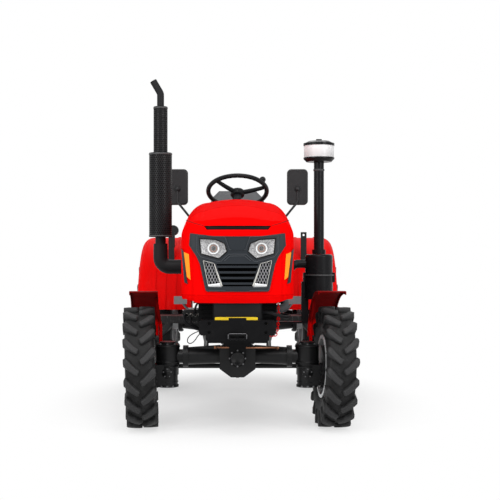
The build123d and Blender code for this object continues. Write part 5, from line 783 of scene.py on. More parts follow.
class Colours(bpy.types.PropertyGroup):
    """Colours of the tractor's finishes."""

    body_red: FloatVectorProperty(name="Body red", description="Hood and fenders", subtype="COLOR", size=3,
                                  default=(0.76, 0.0015, 0.0015))
    # Mudguard red: the body red darkened as painted shade for the guards' shaded undersides
    shaded_red: FloatVectorProperty(name="Mudguard red", description="Front mudguards", subtype="COLOR", size=3,
                                default=(0.20, 0.003, 0.003))
    black: FloatVectorProperty(name="Black paint", description="Frame, plate and linkage paint", subtype="COLOR",
                               size=3, default=(0.003, 0.003, 0.0035))
    casting: FloatVectorProperty(name="Casting grey", description="Axle castings", subtype="COLOR", size=3,
                                 default=(0.006, 0.006, 0.0065))
    rubber: FloatVectorProperty(name="Rubber", description="Tyres", subtype="COLOR", size=3,
                                default=(0.017, 0.017, 0.0175))
    silver: FloatVectorProperty(name="Silver", description="Rims", subtype="COLOR", size=3,
                                default=(0.62, 0.63, 0.64))
    mask: FloatVectorProperty(name="Mask grey", description="Nose mask", subtype="COLOR", size=3,
                              default=(0.013, 0.016, 0.020))
    seat: FloatVectorProperty(name="Seat grey", description="Seat vinyl", subtype="COLOR", size=3,
                              default=(0.075, 0.078, 0.082))


class StageSizes(bpy.types.PropertyGroup):
    """The camera's place and the strength of the lights."""

    distance: FloatProperty(name="Camera distance", description="Ahead of the front axle", default=5.2, unit="LENGTH")
    height: FloatProperty(name="Camera height", description="Above the floor", default=0.913, unit="LENGTH")
    lens: FloatProperty(name="Lens", description="Focal length in millimetres", default=70.5)
    shift_x: FloatProperty(name="Shift X", description="Sideways framing", default=0.025)
    shift_y: FloatProperty(name="Shift Y", description="Upward framing", default=0.010)
    sky: FloatProperty(name="Sky", description="Strength of the even light", default=0.50)
    lamps: FloatProperty(name="Lamps", description="Strength of the studio lights", default=1.0)


class SeatSizes(bpy.types.PropertyGroup):
    """How the seat's padding swells."""

    grain: FloatProperty(name="Grain", description="Size of the padding's mesh", default=0.006, unit="LENGTH")
    swell: FloatProperty(name="Swell", description="Most that the padding moves", default=0.008, unit="LENGTH")
    pressure: FloatProperty(name="Pressure", description="Pressure inside the padding", default=4.0)
    channel: FloatProperty(name="Channel", description="Depth of the sewn channels", default=0.006, unit="LENGTH")


# Name, place, size and power of the area lights, and where they aim
LIGHTS = (
    ("top", (0.0, -3.4, 4.6), (3.0, 3.0), 130), ("left", (-3.4, -4.2, 2.4), (1.2, 2.6), 95),
    ("right", (3.4, -4.2, 2.4), (1.2, 2.6), 95), ("back", (0.0, 3.0, 4.8), (3.0, 1.5), 50),
)
LIGHTS_AIM = (0.0, 0.0, 0.7)


class TRACTOR_OT_stage(bpy.types.Operator):
    """Make the camera, the pale floor and the soft studio lights"""

    bl_idname = "tractor.stage"
    bl_label = "Stage"

    def execute(self, context):
        sizes = context.scene.tractor_stage
        camera = bpy.data.cameras.new("camera")
        camera.lens = sizes.lens
        camera.shift_x = sizes.shift_x
        camera.shift_y = sizes.shift_y
        camera.clip_end = 200
        eye = bpy.data.objects.new("camera", camera)
        eye.location = (0, FRONT_AXLE_Y - sizes.distance, sizes.height)
        eye.rotation_euler = (math.pi / 2, 0, 0)
        context.scene.collection.objects.link(eye)
        context.scene.camera = eye
        context.scene.view_settings.view_transform = "Standard"
        self.floor(context)
        self.world(context, sizes.sky)
        for name, place, size, power in LIGHTS:
            lamp = bpy.data.lights.new(name, "AREA")
            lamp.shape = "RECTANGLE"
            lamp.size, lamp.size_y = size
            lamp.energy = power * sizes.lamps
            light = bpy.data.objects.new(name, lamp)
            light.location = place
            aim = np.array(LIGHTS_AIM) - np.array(place)
            light.rotation_euler = (math.atan2(math.hypot(aim[0], aim[1]), -aim[2]), 0,
                                    math.atan2(aim[1], aim[0]) - math.pi / 2)
            context.scene.collection.objects.link(light)
        return {"FINISHED"}

    def floor(self, context):
        """A wide disc that takes the shadow near the tractor and fades to the white background."""
        finish = Finish("floor")
        x, y, _ = finish.parts()
        away = ((x * x * 2.4 + y * y) ** 0.5).smooth(1.0, 2.0) * 0.46 + 0.54
        matt = finish.node("ShaderNodeBsdfDiffuse", {}, {"Color": (0.86, 0.86, 0.86)})
        white = finish.node("ShaderNodeEmission", {}, {"Color": (1, 1, 1), "Strength": 1.0})
        angle = turns(96)
        rim = FLOOR_RADIUS * np.stack([np.cos(angle), np.sin(angle), np.zeros_like(angle)], axis=1)
        mesh = bpy.data.meshes.new("floor")
        mesh.from_pydata(rim.tolist(), [], [list(range(len(rim)))])
        mesh.materials.append(finish.end(finish.blend(away * finish.seen(), matt, white)))
        disc = bpy.data.objects.new("floor", mesh)
        context.scene.collection.objects.link(disc)

    def world(self, context, strength):
        """Even pale light, and plain white where the camera, a mirror or a lens looks past the floor."""
        context.scene.world = bpy.data.worlds.new("studio")
        finish = Finish("studio", context.scene.world, "ShaderNodeOutputWorld")
        soft, white = (finish.node("ShaderNodeBackground", {}, {"Color": (1, 1, 1), "Strength": power})
                       for power in (strength, 1.0))
        finish.end(finish.blend(finish.seen(), soft, white))


ENGINE_GREY = (0.026, 0.027, 0.029)
DRIVELINE_GREY = (0.013, 0.013, 0.014)
EXHAUST_BLACK = (0.012, 0.012, 0.013)
AIR_BLACK = (0.008, 0.008, 0.009)
GUARD_BLACK = (0.010, 0.010, 0.011)
LEVER_BLACK = (0.014, 0.014, 0.015)
CHAIN_RED = (0.72, 0.003, 0.004)
# Name, colour, roughness and scale of the grain
PLASTICS = (
    ("battery_case", (0.007, 0.007, 0.008), 0.40), ("hose_grey", (0.060, 0.062, 0.066), 0.50, 500.0),
    ("console_grey", (0.022, 0.023, 0.025), 0.50), ("wheel_grip", (0.008, 0.008, 0.009), 0.34),
    ("mirror_black", (0.022, 0.022, 0.023), 0.32), ("tank_black", (0.014, 0.014, 0.015), 0.50),
    ("glass_black", (0.002, 0.002, 0.002), 0.40), ("mask_edge", (0.050, 0.055, 0.062), 0.40),
    ("ring_white", (0.86, 0.87, 0.88), 0.25), ("band_yellow", (0.72, 0.50, 0.02), 0.50, 300.0),
    ("hose_black", (0.006, 0.006, 0.007), 0.45, 600.0), ("strap_grey", (0.055, 0.056, 0.058), 0.35),
    ("dial_pale", (0.60, 0.60, 0.58), 0.40),
)
# Name, colour and roughness
METALS = (
    ("bare_steel", (0.50, 0.50, 0.50)), ("chrome", (0.80, 0.81, 0.82), 0.10), ("copper", (0.34, 0.15, 0.08), 0.35),
    ("zinc", (0.46, 0.45, 0.42), 0.34), ("dark_zinc", (0.16, 0.16, 0.165), 0.40),
)
# Name, colour, alpha and roughness
LENSES = (
    ("lamp_clear", (0.86, 0.87, 0.88), 0.06, 0.04), ("lamp_amber", (0.95, 0.26, 0.015), 1.0, 0.15),
    ("lamp_red", (0.55, 0.008, 0.007), 1.0, 0.12),
)


class TRACTOR_OT_finishes(bpy.types.Operator):
    """Give every solid its paint, plastic, rubber or metal"""

    bl_idname = "tractor.finishes"
    bl_label = "Finishes"

    def execute(self, context):
        c = context.scene.tractor_colours
        for name, colour in (("axle_black", c.casting), ("engine_paint", ENGINE_GREY),
                             ("driveline_paint", DRIVELINE_GREY)):
            cast_paint(colour, name)
        for name, colour, gloss in (("chassis_black", c.black, 0.36), ("radiator_black", c.black, 0.60),
                                    ("exhaust_black", EXHAUST_BLACK, 0.46), ("air_black", AIR_BLACK, 0.26),
                                    ("seat_frame", c.black, 0.45), ("linkage_black", c.black, 0.42)):
            paint_black(colour, name, gloss)
        for make, rows in ((moulded, PLASTICS), (bright_steel, METALS), (lens, LENSES)):
            for row in rows:
                make(*row)
        for make, colour in ((paint_red, c.body_red), (mask_plastic, c.mask), (vinyl, c.seat), (rubber, c.rubber),
                             (silver_paint, c.silver)):
            make(colour)
        for make in (bowl_plastic, reflector_silver, mirror_glass):
            make()
        paint_red(CHAIN_RED, "chain_red")
        for part in frame["record"]["subparts"]:
            self.give(part["node"], MADE[part["material_slot"]])
        self.give("hood", hood_red(c.body_red))
        shaded_red = mudguard_shaded_red(c.shaded_red, c.body_red)
        self.give("mudguard_left", shaded_red)
        self.give("mudguard_right", shaded_red)
        self.give("muffler_guards", perforated(GUARD_BLACK))
        self.give("footboards", tread_plate(c.black))
        self.give("controls", lever_paint(LEVER_BLACK))
        return {"FINISHED"}

    def give(self, node, material):
        slots = NODES[node].data.materials
        slots.clear()
        slots.append(material)


class TRACTOR_OT_tyres(bpy.types.Operator):
    """Make the lugged tyres"""

    bl_idname = "tractor.tyres"
    bl_label = "Tyres"

    def execute(self, context):
        for axle in ("front", "rear"):
            size = getattr(context.scene, "tractor_%s_tyre" % axle)
            own = joined([tyre_carcass(size, 120), tyre_lugs(size)])
            for name, side in SIDES:
                centre, turn = wheel_frame("wheel_%s_%s_spin" % (axle, name), side)
                node = "%s_tyre_%s" % (axle, name)
                shape = own[0] * (1, side, 1) @ turn.T + centre, own[1]
                piece = shown(node + "_tread", shape, "tyre_rubber", "wheel_%s_%s" % (axle, name))
                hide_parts(node)
                self.wear(piece.data, centre, turn[:, 0], size)
        return {"FINISHED"}

    def wear(self, mesh, centre, axis, size):
        """Stores how far each point stands from the tread toward the lug tips, from 0 to 1: it sets the rubber's lug
        wear and its painted light and shade.
        """
        arm = mesh_points(mesh) - centre
        far = np.linalg.norm(arm - (arm @ axis)[:, None] * axis, axis=1)
        lug_wear_and_light = np.clip((far - size.radius + size.lug_height) / (0.8 * size.lug_height), 0, 1)
        mesh.attributes.new("lug_wear_and_light", "FLOAT", "POINT").data.foreach_set("value", lug_wear_and_light)


# Strips on the nose: path in (x, z), width, height of foot and top, number of points, and whether it closes
BROWS = ((HEADLAMP, 7.0, 3.0, 8.4, 120, True),)
RIDGES = (
    (((206, 1012), (120, 1006), (62, 1003), (40, 940), (0, 940)), 2.4, 5.0, 9.0, 80),
    (((204, 1006), (204, 930), (186, 904), (96, 880), (78, 884)), 2.4, 5.0, 9.0, 80),
    (((186, 872), (158, 742), (150, 735), (60, 735)), 2.4, 5.0, 8.6, 80),
)
INLET_FEET = ((((80, 763), (146, 760)), np.linspace(20, 13, 24), 1.0, 8.5),)
INLET_EDGES = (
    (((116, 868), (108, 842), (79, 756)), np.linspace(4, 11, 24), 3.0, 9.5),
    (((172, 884), (146, 754)), 3.0, 3.0, 9.0),
    (((172, 885), (116, 870)), 2.6, 3.0, 8.5),
)
HOOD_SEAMS = ((((172, 1061), (214, 1072), (262, 1090)), 2.6, -2.0, 0.7),)
CHIN_LINES = (
    (((-80, 884), (-43, 917), (43, 917), (80, 884)), 3.0, 5.0, 9.4, 60),
    (((-66, 884), (-36, 908), (36, 908), (66, 884)), 3.0, 5.0, 9.0, 60),
)
# A near-black strip behind the hood's slot: painted shade for the slot's dark inside.
SLOT_SHADE_STRIP = (((-176, 1050), (176, 1050)), 30.0, -16.0, -11.0)
EYE_PROUD = -22.0


class TRACTOR_OT_face(bpy.types.Operator):
    """Make the headlamps' insides and the trims of the nose"""

    bl_idname = "tractor.face"
    bl_label = "Face"

    def execute(self, context):
        ease = np.linspace(0, 1, 14)

        def reflector(side):
            return bowl(flipped(HEADLAMP, side), (side * PROJECTOR[0], PROJECTOR[1]), 0.985 - 0.70 * ease,
                        1.0 - 30.0 * np.sin(ease * np.pi / 2), 2.0)

        def cover(side):
            ring = np.linspace(0, 1, 16)
            return bowl(flipped(HEADLAMP, side), (side * PROJECTOR[0], PROJECTOR[1]), 0.99 * (1 - ring),
                        2.0 + 3.0 * np.sin(np.minimum(ring * 4, 1) * np.pi / 2), 1.5)

        def hoop(radius, thick, proud):
            a = turns(48)
            x, z = PROJECTOR
            return lambda side: tube(nose(side * x + radius * np.cos(a), z + radius * np.sin(a), proud), thick, 10,
                                     closed=True)

        def at_eye(profile):
            return lambda side: turned(profile, nose(side * PROJECTOR[0], PROJECTOR[1], EYE_PROUD), FORWARD, 36)

        t = np.linspace(0, np.pi / 2, 10)
        eye = [(0, -0.006), (0.011, -0.006)] + list(zip(0.011 * np.cos(t), 0.012 * np.sin(t)))
        cup = [(0, -0.004), (0.026, -0.004), (0.026, 0.0), (0.018, -0.001), (0, -0.002)]
        lamps = self.piece("headlamp_covers", cover, "lamp_clear", slot="lamp_clear")
        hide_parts("headlamps")
        for name, make, finish in (("headlamp_reflectors", reflector, "reflector_silver"),
                                   ("projector_cups", at_eye(cup), "reflector_silver"),
                                   ("projector_rings", hoop(26.0, 0.0034, -12.0), "ring_white"),
                                   ("projector_collars", hoop(16.5, 0.0022, -14.0), "copper"),
                                   ("projector_eyes", at_eye(eye), "glass_black"),
                                   ("lamp_surrounds", strips(BROWS), "glass_black"),
                                   ("mask_ridges", strips(RIDGES), "mask_edge"),
                                   ("inlet_trims", strips(INLET_FEET), "chrome"),
                                   ("inlet_edges", strips(INLET_EDGES), "zinc")):
            self.piece(name, make, finish)
        shown("chin_lines", strips(CHIN_LINES)(1.0), "mask_edge", "hood")
        shown("slot_shade_strip", band(*SLOT_SHADE_STRIP), "glass_black", "hood")
        self.piece("hood_seams", strips(HOOD_SEAMS), "glass_black")
        return {"FINISHED"}

    def piece(self, name, make, finish, slot=None):
        return shown(name, both_sides(make), finish, "hood")


STEERING_R, GRIP_R = 0.186, 0.0145
SPOKES_DEG, KNOB_DEG = (-16, -136, -256), -32


class TRACTOR_OT_steering(bpy.types.Operator):
    """Make the steering wheel with its spokes, cap and knob"""

    bl_idname = "tractor.steering"
    bl_label = "Steering wheel"

    def execute(self, context):
        joint = JOINTS["steering_wheel_turn"]
        up = unit(joint["axis"])
        side = np.array([1.0, 0.0, 0.0])
        ahead = np.cross(up, side)
        centre = np.array(joint["pos_m"])

        def local(points):
            p = np.asarray(points, float)
            return centre + p[..., :1] * side + p[..., 1:2] * ahead + p[..., 2:] * up
        u = turns(144)[:, None]
        v = turns(16)[None, :]
        grip = GRIP_R - 0.0012 * (0.5 + 0.5 * np.cos(36 * u)) * np.clip(-np.sin(v), 0, 1)
        out = STEERING_R + grip * np.cos(v)
        ring = np.stack([out * np.cos(u), out * np.sin(u), grip * np.sin(v) * np.ones_like(u)], axis=-1)
        parts = [(local(ring.reshape(-1, 3)), grid_faces(144, 16, True, True))]
        run = np.linspace(0, 1, 12)
        for degrees in SPOKES_DEG:
            a = math.radians(degrees)
            reach = 0.025 + 0.150 * run
            path = np.stack([reach * math.cos(a), reach * math.sin(a), -0.012 + 0.012 * run ** 2], axis=1)
            parts.append(tube(local(path), 0.0155 - 0.003 * run, 12))
        cap = [(0, -0.034), (0.040, -0.034), (0.044, -0.028), (0.044, -0.004), (0.040, 0.003), (0.030, 0.006),
               (0.026, 0.0045), (0.024, 0.006), (0, 0.0075)]
        parts.append(turned(cap, centre, up, 48))
        a = math.radians(KNOB_DEG)
        t = np.linspace(-1.2, np.pi / 2, 14)
        knob = [(0, 0.0), (0.0075, 0.0), (0.0075, 0.020)]
        knob += list(zip(0.020 * np.cos(t), 0.026 + 0.020 * np.sin(t)))
        parts.append(turned(knob, local([STEERING_R * math.cos(a), STEERING_R * math.sin(a), 0]), up, 28))
        wheel = shown("steering_wheel_smooth", joined(parts), "wheel_grip", "steering_wheel")
        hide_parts("steering_wheel")
        return {"FINISHED"}


# In millimetres: half width, half height and corner, after the front and back of the glass
MIRROR_GLASS = (826.5, 829.5, 57, 103, 22)
MIRROR_RIM_S, MIRROR_RIM = 800.5, (55, 101, 22)
MIRROR_BALL = (796, 1318)


class TRACTOR_OT_mirrors(bpy.types.Operator):
    """Make the mirrors' glass, their raised rims and ball mounts"""

    bl_idname = "tractor.mirrors"
    bl_label = "Mirrors"

    def outline(self, half_x, half_z, corner, count=12):
        """A rounded rectangle as four quarter arcs joined by straights."""
        t = np.linspace(0, np.pi / 2, count)
        arcs = [np.stack([sx * (half_x - corner) + corner * np.cos(t + turn),
                          sz * (half_z - corner) + corner * np.sin(t + turn)], axis=1)
                for turn, sx, sz in ((0, 1, 1), (np.pi / 2, -1, 1), (np.pi, -1, -1), (1.5 * np.pi, 1, -1))]
        return np.concatenate(arcs)

    def slab(self, x, s_front, s_back, half_x, half_z, corner):
        """A rounded plate: the outline at the front and back faces, drawn in to their middles."""
        edge = self.outline(half_x, half_z, corner)
        scale = np.array([0.0, 0.98, 1.0, 1.0, 0.98, 0.0])
        deep = np.array([s_front, s_front, s_front + 0.4, s_back - 0.4, s_back, s_back])
        flat = edge[None] * scale[:, None, None]
        deep = np.broadcast_to(deep[:, None], flat.shape[:2])
        points = np.stack([flat[..., 0] + x, deep, flat[..., 1] + MIRROR_Z], axis=-1)
        return at(points).reshape(-1, 3), grid_faces(6, len(edge), close_columns=True)

    def execute(self, context):
        glass, rims, balls = [], [], []
        for _, side in SIDES:
            x = side * MIRROR_X
            glass.append(self.slab(x, *MIRROR_GLASS))
            edge = self.outline(*MIRROR_RIM)
            path = np.stack([edge[:, 0] + x, np.full(len(edge), MIRROR_RIM_S), edge[:, 1] + MIRROR_Z], axis=1)
            rims.append(tube(at(path), 0.0026, 8, closed=True))
            t = np.linspace(0, np.pi / 2, 8)
            ball = [(0, -0.012), (0.022, -0.012), (0.020, -0.003)]
            ball += list(zip(0.015 * np.cos(t), 0.015 * np.sin(t)))
            balls.append(turned(ball, at([x, *MIRROR_BALL]), FORWARD, 28))
        shown("mirror_glasses", joined(glass), "mirror_glass", smooth=False)
        shown("mirror_rims", joined(rims), "mirror_black")
        shown("mirror_balls", joined(balls), "mirror_black")
        return {"FINISHED"}


# Node, axis that the channels cross, and their places along it
SEAT_PADS = (("seat_cushion", 1, (0.30, 0.55, 0.80)), ("seat_back", 2, (0.30, 0.52, 0.74)))
PAD_SHRINK = 0.004
CHANNEL_WIDE = 0.008
SWELL_FRAMES = 20


class TRACTOR_OT_seat(bpy.types.Operator):
    """Swell the seat's cushion and back with cloth under pressure, and sew their channels"""

    bl_idname = "tractor.seat"
    bl_label = "Seat"

    def execute(self, context):
        sizes = context.scene.tractor_seat
        for node, axis, seams in SEAT_PADS:
            piece = self.copied(context, node, sizes.grain)
            start = mesh_points(piece.data)
            self.swell(context, piece, sizes)
            now = mesh_points(piece.data)
            move = now - start
            far = np.linalg.norm(move, axis=1, keepdims=True)
            now = start + move * np.minimum(1, sizes.swell / np.maximum(far, 1e-9))
            self.sew(piece, now, axis, seams, sizes.channel)
            piece.data.materials.clear()
            piece.data.materials.append(MADE["seat_vinyl"])
            round_off = piece.modifiers.new("soft", "SUBSURF")
            round_off.levels = round_off.render_levels = 1
            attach(piece, "chassis")
            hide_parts(node)
        return {"FINISHED"}

    def evaluated(self, context, piece):
        graph = context.evaluated_depsgraph_get()
        return bpy.data.meshes.new_from_object(piece.evaluated_get(graph))

    def copied(self, context, node, grain):
        """The solid's mesh a little shrunken about its middle, remeshed in even small faces."""
        mesh = NODES[node].data.copy()
        shell = bmesh.new()
        shell.from_mesh(mesh)
        bmesh.ops.remove_doubles(shell, verts=shell.verts, dist=1e-5)
        shell.to_mesh(mesh)
        shell.free()
        p = mesh_points(mesh)
        middle = (p.min(axis=0) + p.max(axis=0)) / 2
        reach = np.maximum(np.ptp(p, axis=0) / 2, 1e-6)
        mesh.vertices.foreach_set("co", (middle + (p - middle) * (1 - PAD_SHRINK / reach)).ravel())
        piece = bpy.data.objects.new(node + "_padded", mesh)
        context.scene.collection.objects.link(piece)
        even = piece.modifiers.new("even", "REMESH")
        even.mode = "VOXEL"
        even.voxel_size = grain
        even.use_smooth_shade = True
        fine = self.evaluated(context, piece)
        piece.modifiers.clear()
        piece.data = fine
        return piece

    def swell(self, context, piece, sizes):
        """Some frames of cloth with pressure inside and no gravity."""
        cloth = piece.modifiers.new("pad", "CLOTH")
        cloth.settings.use_pressure = True
        cloth.settings.uniform_pressure_force = sizes.pressure
        cloth.settings.effector_weights.gravity = 0
        cloth.point_cache.frame_start, cloth.point_cache.frame_end = 1, SWELL_FRAMES
        for number in range(1, SWELL_FRAMES + 1):
            context.scene.frame_set(number)
        puffed = self.evaluated(context, piece)
        piece.modifiers.clear()
        piece.data = puffed
        context.scene.frame_set(1)

    def sew(self, piece, points, axis, seams, deep):
        """Channels across the pad: each pulls the surface in along its normal by a bell curve of the distance."""
        mesh = piece.data
        mesh.vertices.foreach_set("co", points.ravel())
        mesh.update()
        normal = np.empty(len(mesh.vertices) * 3)
        mesh.vertex_normals.foreach_get("vector", normal)
        along = (points[:, axis] - points[:, axis].min()) / np.ptp(points[:, axis])
        gap = np.abs(along[:, None] - np.asarray(seams)[None]) * np.ptp(points[:, axis])
        pull = deep * np.exp(-(gap / CHANNEL_WIDE) ** 2).sum(axis=1)
        front = np.clip(normal.reshape(-1, 3)[:, 3 - axis] * (1 if axis == 1 else -1), 0, 1)
        mesh.vertices.foreach_set("co", (points - normal.reshape(-1, 3) * (pull * front)[:, None]).ravel())
        mesh.update()


def hose(name, places, diameter):
    """A round hose along a NURBS spline through its route's points."""
    curve = bpy.data.curves.new(name, "CURVE")
    curve.dimensions = "3D"
    curve.bevel_depth = diameter / 2
    curve.bevel_resolution = 3
    curve.use_fill_caps = True
    route = at(places)
    spline = curve.splines.new("NURBS")
    spline.points.add(len(route) - 1)
    spline.points.foreach_set("co", np.column_stack([route, np.ones(len(route))]).ravel())
    spline.order_u = 3
    spline.use_endpoint_u = True
    spline.resolution_u = 12
    curve.materials.append(MADE["hose_black"])
    piece = bpy.data.objects.new(name, curve)
    bpy.context.scene.collection.objects.link(piece)
    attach(piece, "chassis")


# Routes in millimetres
BATTERY_HOSE = ((122, -185, 622), (150, -190, 621), (190, -186, 612), (232, -160, 596), (262, -110, 590),
                (276, -50, 591), (262, 10, 593), (225, 60, 596), (170, 90, 600), (122, 95, 602))
STEERING_HOSE = ((-150, 74, 512), (-180, 70, 510), (-222, 56, 500), (-262, 34, 478), (-270, 14, 450),
                 (-250, 0, 440), (-226, -10, 458), (-206, -20, 492), (-180, -28, 508), (-150, -30, 512))
CHAIN_LINE = ((212, -88, 664), (214, -98, 620), (212, -104, 570), (208, -106, 528), (200, -106, 500),
              (184, -104, 490), (168, -98, 500), (153, -92, 508))
TOW_RING_S = -410
TOW_RING = ((-40, 500), (40, 500), (44, 504), (44, 522), (40, 526), (-40, 526), (-44, 522), (-44, 504))


class TRACTOR_OT_front(bpy.types.Operator):
    """Make the battery's band, the chain, the hoses and the small fittings under the nose"""

    bl_idname = "tractor.front"
    bl_label = "Front fittings"

    def execute(self, context):
        shown("battery_band", rounded_box((0.108, 0.0015, 0.013), at([-6, -267, 587]), 14.0), "band_yellow")
        self.chain()
        self.hydraulics()
        ring = [(x, TOW_RING_S, z) for x, z in TOW_RING]
        shown("tow_ring", tube(at(ring), 0.0035, 8, closed=True), "dark_zinc")
        rod = joined([tube(at([(-110, -100, 432), (0, -100, 431), (205, -100, 430)]), 0.0045, 10),
                      hexes(at([(-112, -100, 432)]), (-1, 0, 0), 0.016, 0.010),
                      hexes(at([(206, -100, 430)]), (1, 0, 0), 0.016, 0.010)])
        shown("drag_rod", rod, "copper")
        cap = [(0, -0.002), (0.036, -0.002), (0.036, 0.004), (0.033, 0.007), (0.029, 0.007), (0.028, 0.005),
               (0, 0.0055)]
        shown("pivot_cap", turned(cap, at([0, -126, 376]), FORWARD, 40), "axle_black")
        hose("battery_hose", BATTERY_HOSE, 0.018)
        hose("steering_hose", STEERING_HOSE, 0.005)
        return {"FINISHED"}

    def chain(self, long=9.6, wide=6.2, thick=2.2, count=17):
        """Links of a red chain: small rounded loops, every other one turned a quarter, down a hanging line."""
        line = resampled(smooth_line(CHAIN_LINE, 12), count, False)
        way = unit(np.gradient(line, axis=0))
        one = unit(np.cross(way, (0.0, 1.0, 0.0)))
        two = np.cross(way, one)
        even = (np.arange(count) % 2 == 0)[:, None]
        flat = np.where(even, one, two)
        deep = np.where(even, two, one)
        u = turns(16)[None, :, None, None]
        v = turns(7)[None, None, :, None]
        way, flat, deep = way[:, None, None], flat[:, None, None], deep[:, None, None]
        out = way * np.cos(u) + flat * np.sin(u)
        points = line[:, None, None] + way * long * np.cos(u) + flat * wide * np.sin(u)
        points = points + thick * (out * np.cos(v) + deep * np.sin(v))
        shown("chain_links", copies(at(points).reshape(count, -1, 3), grid_faces(16, 7, True, True)), "chain_red")
        hooks = joined([tube(at([(203, -66, 668), (206, -80, 670), (212, -88, 668), (213, -90, 663)]), 0.003, 8),
                        tube(at([(148, -88, 506), (150, -92, 508), (155, -93, 509)]), 0.003, 8)])
        shown("chain_hooks", hooks, "zinc")

    def hydraulics(self):
        """A small valve block on a bracket beside the right rail, with fittings and pipes."""
        block = [rounded_box((0.060, 0.026, 0.030), at([-236, 110, 588]), 10.0),
                 rounded_box((0.072, 0.018, 0.004), at([-206, 110, 556]), 12.0),
                 rounded_box((0.004, 0.018, 0.030), at([-146, 110, 532]), 12.0)]
        shown("valve_block", joined(block), "axle_black")
        fitting = [(0, 0), (0.010, 0), (0.010, 0.012), (0.007, 0.014), (0.007, 0.026), (0, 0.026)]
        ends = [turned(fitting, at([x, 86, 590]), FORWARD, 6) for x in (-272, -250, -228, -206)]
        ends.append(turned([(0, 0), (0.006, 0), (0.006, 0.022), (0, 0.022)], at([-196, 108, 566]), FORWARD, 16))
        shown("valve_fittings", joined(ends), "zinc")
        pipes = [tube(at(smooth_line(route, 8)), radius, around) for route, radius, around in (
            ([(-272, 62, 590), (-284, 40, 586), (-280, 24, 556), (-230, 20, 524), (-146, 40, 500)], 0.008, 12),
            ([(-250, 62, 590), (-252, 36, 580), (-246, 30, 548), (-200, 40, 520), (-146, 60, 516)], 0.006, 10),
            ([(-228, 62, 590), (-230, 40, 604), (-222, 30, 640), (-204, 26, 668), (-196, -20, 690)], 0.006, 10))]
        shown("valve_pipes", joined(pipes), "hose_black")


class TRACTOR_OT_fasteners(bpy.types.Operator):
    """Bolt the axle, the castings, the footboards and the tanks"""

    bl_idname = "tractor.fasteners"
    bl_label = "Fasteners"

    def execute(self, context):
        heads = [hexes(circle_of(at([0, -118, 376]), FORWARD, 0.041, 8), FORWARD, 0.008, 0.005)]
        for side in (1, -1):
            inward = (-side, 0, 0)
            heads += [hexes(circle_of(at([side * KINGPIN_X, 0, 440]), UP, 0.053, 8), UP, 0.011, 0.007),
                      hexes(at([(side * 90, s, 826) for s in (252, 352, 452)]), UP, 0.014, 0.009),
                      hexes(at([(side * 100, s, 772) for s in (1425, 1500, 1560)]), UP, 0.016, 0.010),
                      hexes(circle_of(at([side * 380, 1550, 470]), inward, 0.073, 8), inward, 0.014, 0.008)]
        shown("bolt_heads", joined(heads), "dark_zinc", smooth=False)
        for name, side in SIDES:
            self.knuckle(name, side)
        straps = [sleeve(at([*place, 0]), UP, *sizes) for place, *sizes in (
            (INTAKE_AT, 0.084, 0.7935, 0.8025, 0.002), (INTAKE_AT, 0.029, 1.395, 1.407, 0.003),
            (EXHAUST_AT, 0.065, 1.018, 1.027, 0.0018), (EXHAUST_AT, 0.065, 1.484, 1.494, 0.0018),
            (EXHAUST_AT, 0.040, 1.748, 1.757, 0.0015))]
        shown("clamp_straps", joined(straps), "strap_grey")
        return {"FINISHED"}

    def knuckle(self, name, side):
        """Rings, ribs and a bolted cover on the upright column of one knuckle, all turned about the kingpin."""
        x = side * KINGPIN_X

        def rings(*rows):
            return [sleeve(at([x, 0, 0]), UP, *sizes) for sizes in rows]
        cover = [(0, -0.004), (0.029, -0.004), (0.029, 0.003), (0.026, 0.006), (0.012, 0.006), (0.010, 0.010),
                 (0, 0.010)]
        front = at([x, -51, 292])
        parts = rings((0.052, 0.214, 0.227, 0.005), (0.052, 0.240, 0.246, 0.003), (0.052, 0.318, 0.328, 0.004))
        parts.append(turned(cover, front, FORWARD, 32))
        shown("knuckle_rings_" + name, joined(parts), "axle_black", "knuckle_" + name)
        heads = [hexes(circle_of(front + np.array([0, -0.002, 0]), FORWARD, 0.021, 5), FORWARD, 0.008, 0.008),
                 hexes(at([(x - 30, -49, 221), (x, -58, 221), (x + 30, -49, 221)]), FORWARD, 0.010, 0.006)]
        shown("knuckle_bolts_" + name, joined(heads), "dark_zinc", "knuckle_" + name, smooth=False)
        case = rings((0.062, 0.424, 0.434, 0.0025), (0.062, 0.344, 0.353, 0.0025))
        shown("case_rings_" + name, joined(case), "axle_black")


# The dash's slope from low to high as (s, z), and each dial's x, place up the slope and radius
DASH_LOW, DASH_HIGH = np.array([880.0, 1122.0]), np.array([810.0, 1232.0])
DIALS = ((0, 0.52, 0.040), (-88, 0.52, 0.028), (88, 0.52, 0.028))
EXHAUST_END, EXHAUST_WAY = (-482, 400, 1908), (-42.0, 0.0, 72.0)


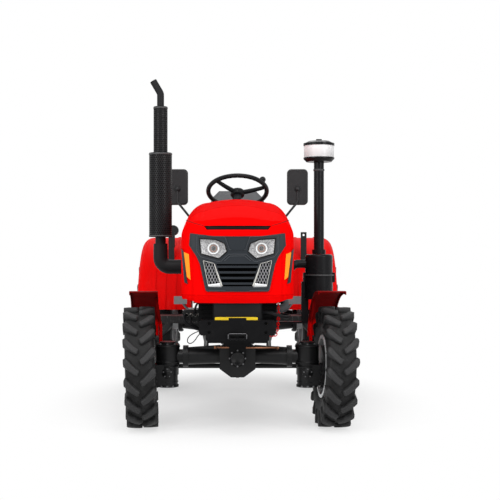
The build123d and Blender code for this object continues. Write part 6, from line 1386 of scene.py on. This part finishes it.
class TRACTOR_OT_driver(bpy.types.Operator):
    """Make the dials on the dash and a near-black disc of painted shade in the exhaust's end"""

    bl_idname = "tractor.driver"
    bl_label = "Dials and exhaust end"

    def execute(self, context):
        slope = unit(DASH_HIGH - DASH_LOW)
        out = np.array([0.0, slope[1], -slope[0]])
        faces, rings, needles = [], [], []
        for x, up, radius in DIALS:
            middle = at([x, *(DASH_LOW + (DASH_HIGH - DASH_LOW) * up)])
            faces.append(turned([(0, -0.004), (radius, -0.004), (radius, 0.002), (0, 0.002)], middle, out, 40))
            lip = [(radius + 0.004 * math.cos(a), 0.003 + 0.004 * math.sin(a)) for a in turns(10)]
            rings.append((turned(lip, middle, out, 40)[0], grid_faces(10, 40, True, True)))
            up_way = np.array([0.0, slope[0], slope[1]])
            tip = middle + out * 0.0035 + (up_way * 0.7 + np.array([0.5, 0, 0])) * radius * 0.8
            needles.append(tube(np.linspace(middle + out * 0.0035, tip, 4), 0.0012, 6))
            marks = middle + out * 0.0026 + radius * 0.84 * np.stack(
                [np.cos(k) * np.array([1.0, 0, 0]) + np.sin(k) * up_way for k in np.linspace(-0.5, np.pi + 0.5, 11)])
            needles.append(hexes(marks, out, 0.0032, 0.0012))
        shown("dial_faces", joined(faces), "glass_black", smooth=False)
        shown("dial_rings", joined(rings), "chrome")
        shown("dial_marks", joined(needles), "dial_pale", smooth=False)
        # A near-black disc in the pipe's end is painted shade for its dark inside.
        mouth = [(0, -0.004), (0.0165, -0.004), (0.0165, 0.0006), (0, 0.0006)]
        shown("exhaust_mouth", turned(mouth, at(EXHAUST_END), EXHAUST_WAY, 32), "glass_black", smooth=False)
        return {"FINISHED"}


class TRACTOR_PT_panel(bpy.types.Panel):
    """Lists the steps that dress the tractor"""

    bl_idname = "TRACTOR_PT_panel"
    bl_label = "Farm tractor"
    bl_space_type = "VIEW_3D"
    bl_region_type = "UI"
    bl_category = "Tractor"

    def draw(self, context):
        for step in STEPS:
            self.layout.operator(step.bl_idname)


STEPS = (TRACTOR_OT_stage, TRACTOR_OT_finishes, TRACTOR_OT_tyres, TRACTOR_OT_face, TRACTOR_OT_steering,
         TRACTOR_OT_mirrors, TRACTOR_OT_seat, TRACTOR_OT_front, TRACTOR_OT_fasteners, TRACTOR_OT_driver)
GROUPS = (TyreSize, Colours, StageSizes, SeatSizes)
SETTINGS = {"tractor_colours": Colours, "tractor_stage": StageSizes, "tractor_seat": SeatSizes,
            "tractor_front_tyre": TyreSize, "tractor_rear_tyre": TyreSize}
REAR_TYRE = {"radius": 0.470, "width": 0.236, "bead": 0.210, "lug_height": 0.028, "lug_width": 0.048,
             "lug_sweep": 0.112}
CLASSES = GROUPS + STEPS + (TRACTOR_PT_panel,)


def register():
    for kind in CLASSES:
        bpy.utils.register_class(kind)
    for name, kind in SETTINGS.items():
        setattr(bpy.types.Scene, name, PointerProperty(type=kind))


def unregister():
    for name in SETTINGS:
        delattr(bpy.types.Scene, name)
    for kind in reversed(CLASSES):
        bpy.utils.unregister_class(kind)


def main():
    register()
    for key, value in REAR_TYRE.items():
        setattr(bpy.context.scene.tractor_rear_tyre, key, value)
    for step in STEPS:
        group, name = step.bl_idname.split(".")
        getattr(getattr(bpy.ops, group), name)()


if __name__ == "__main__":
    main()
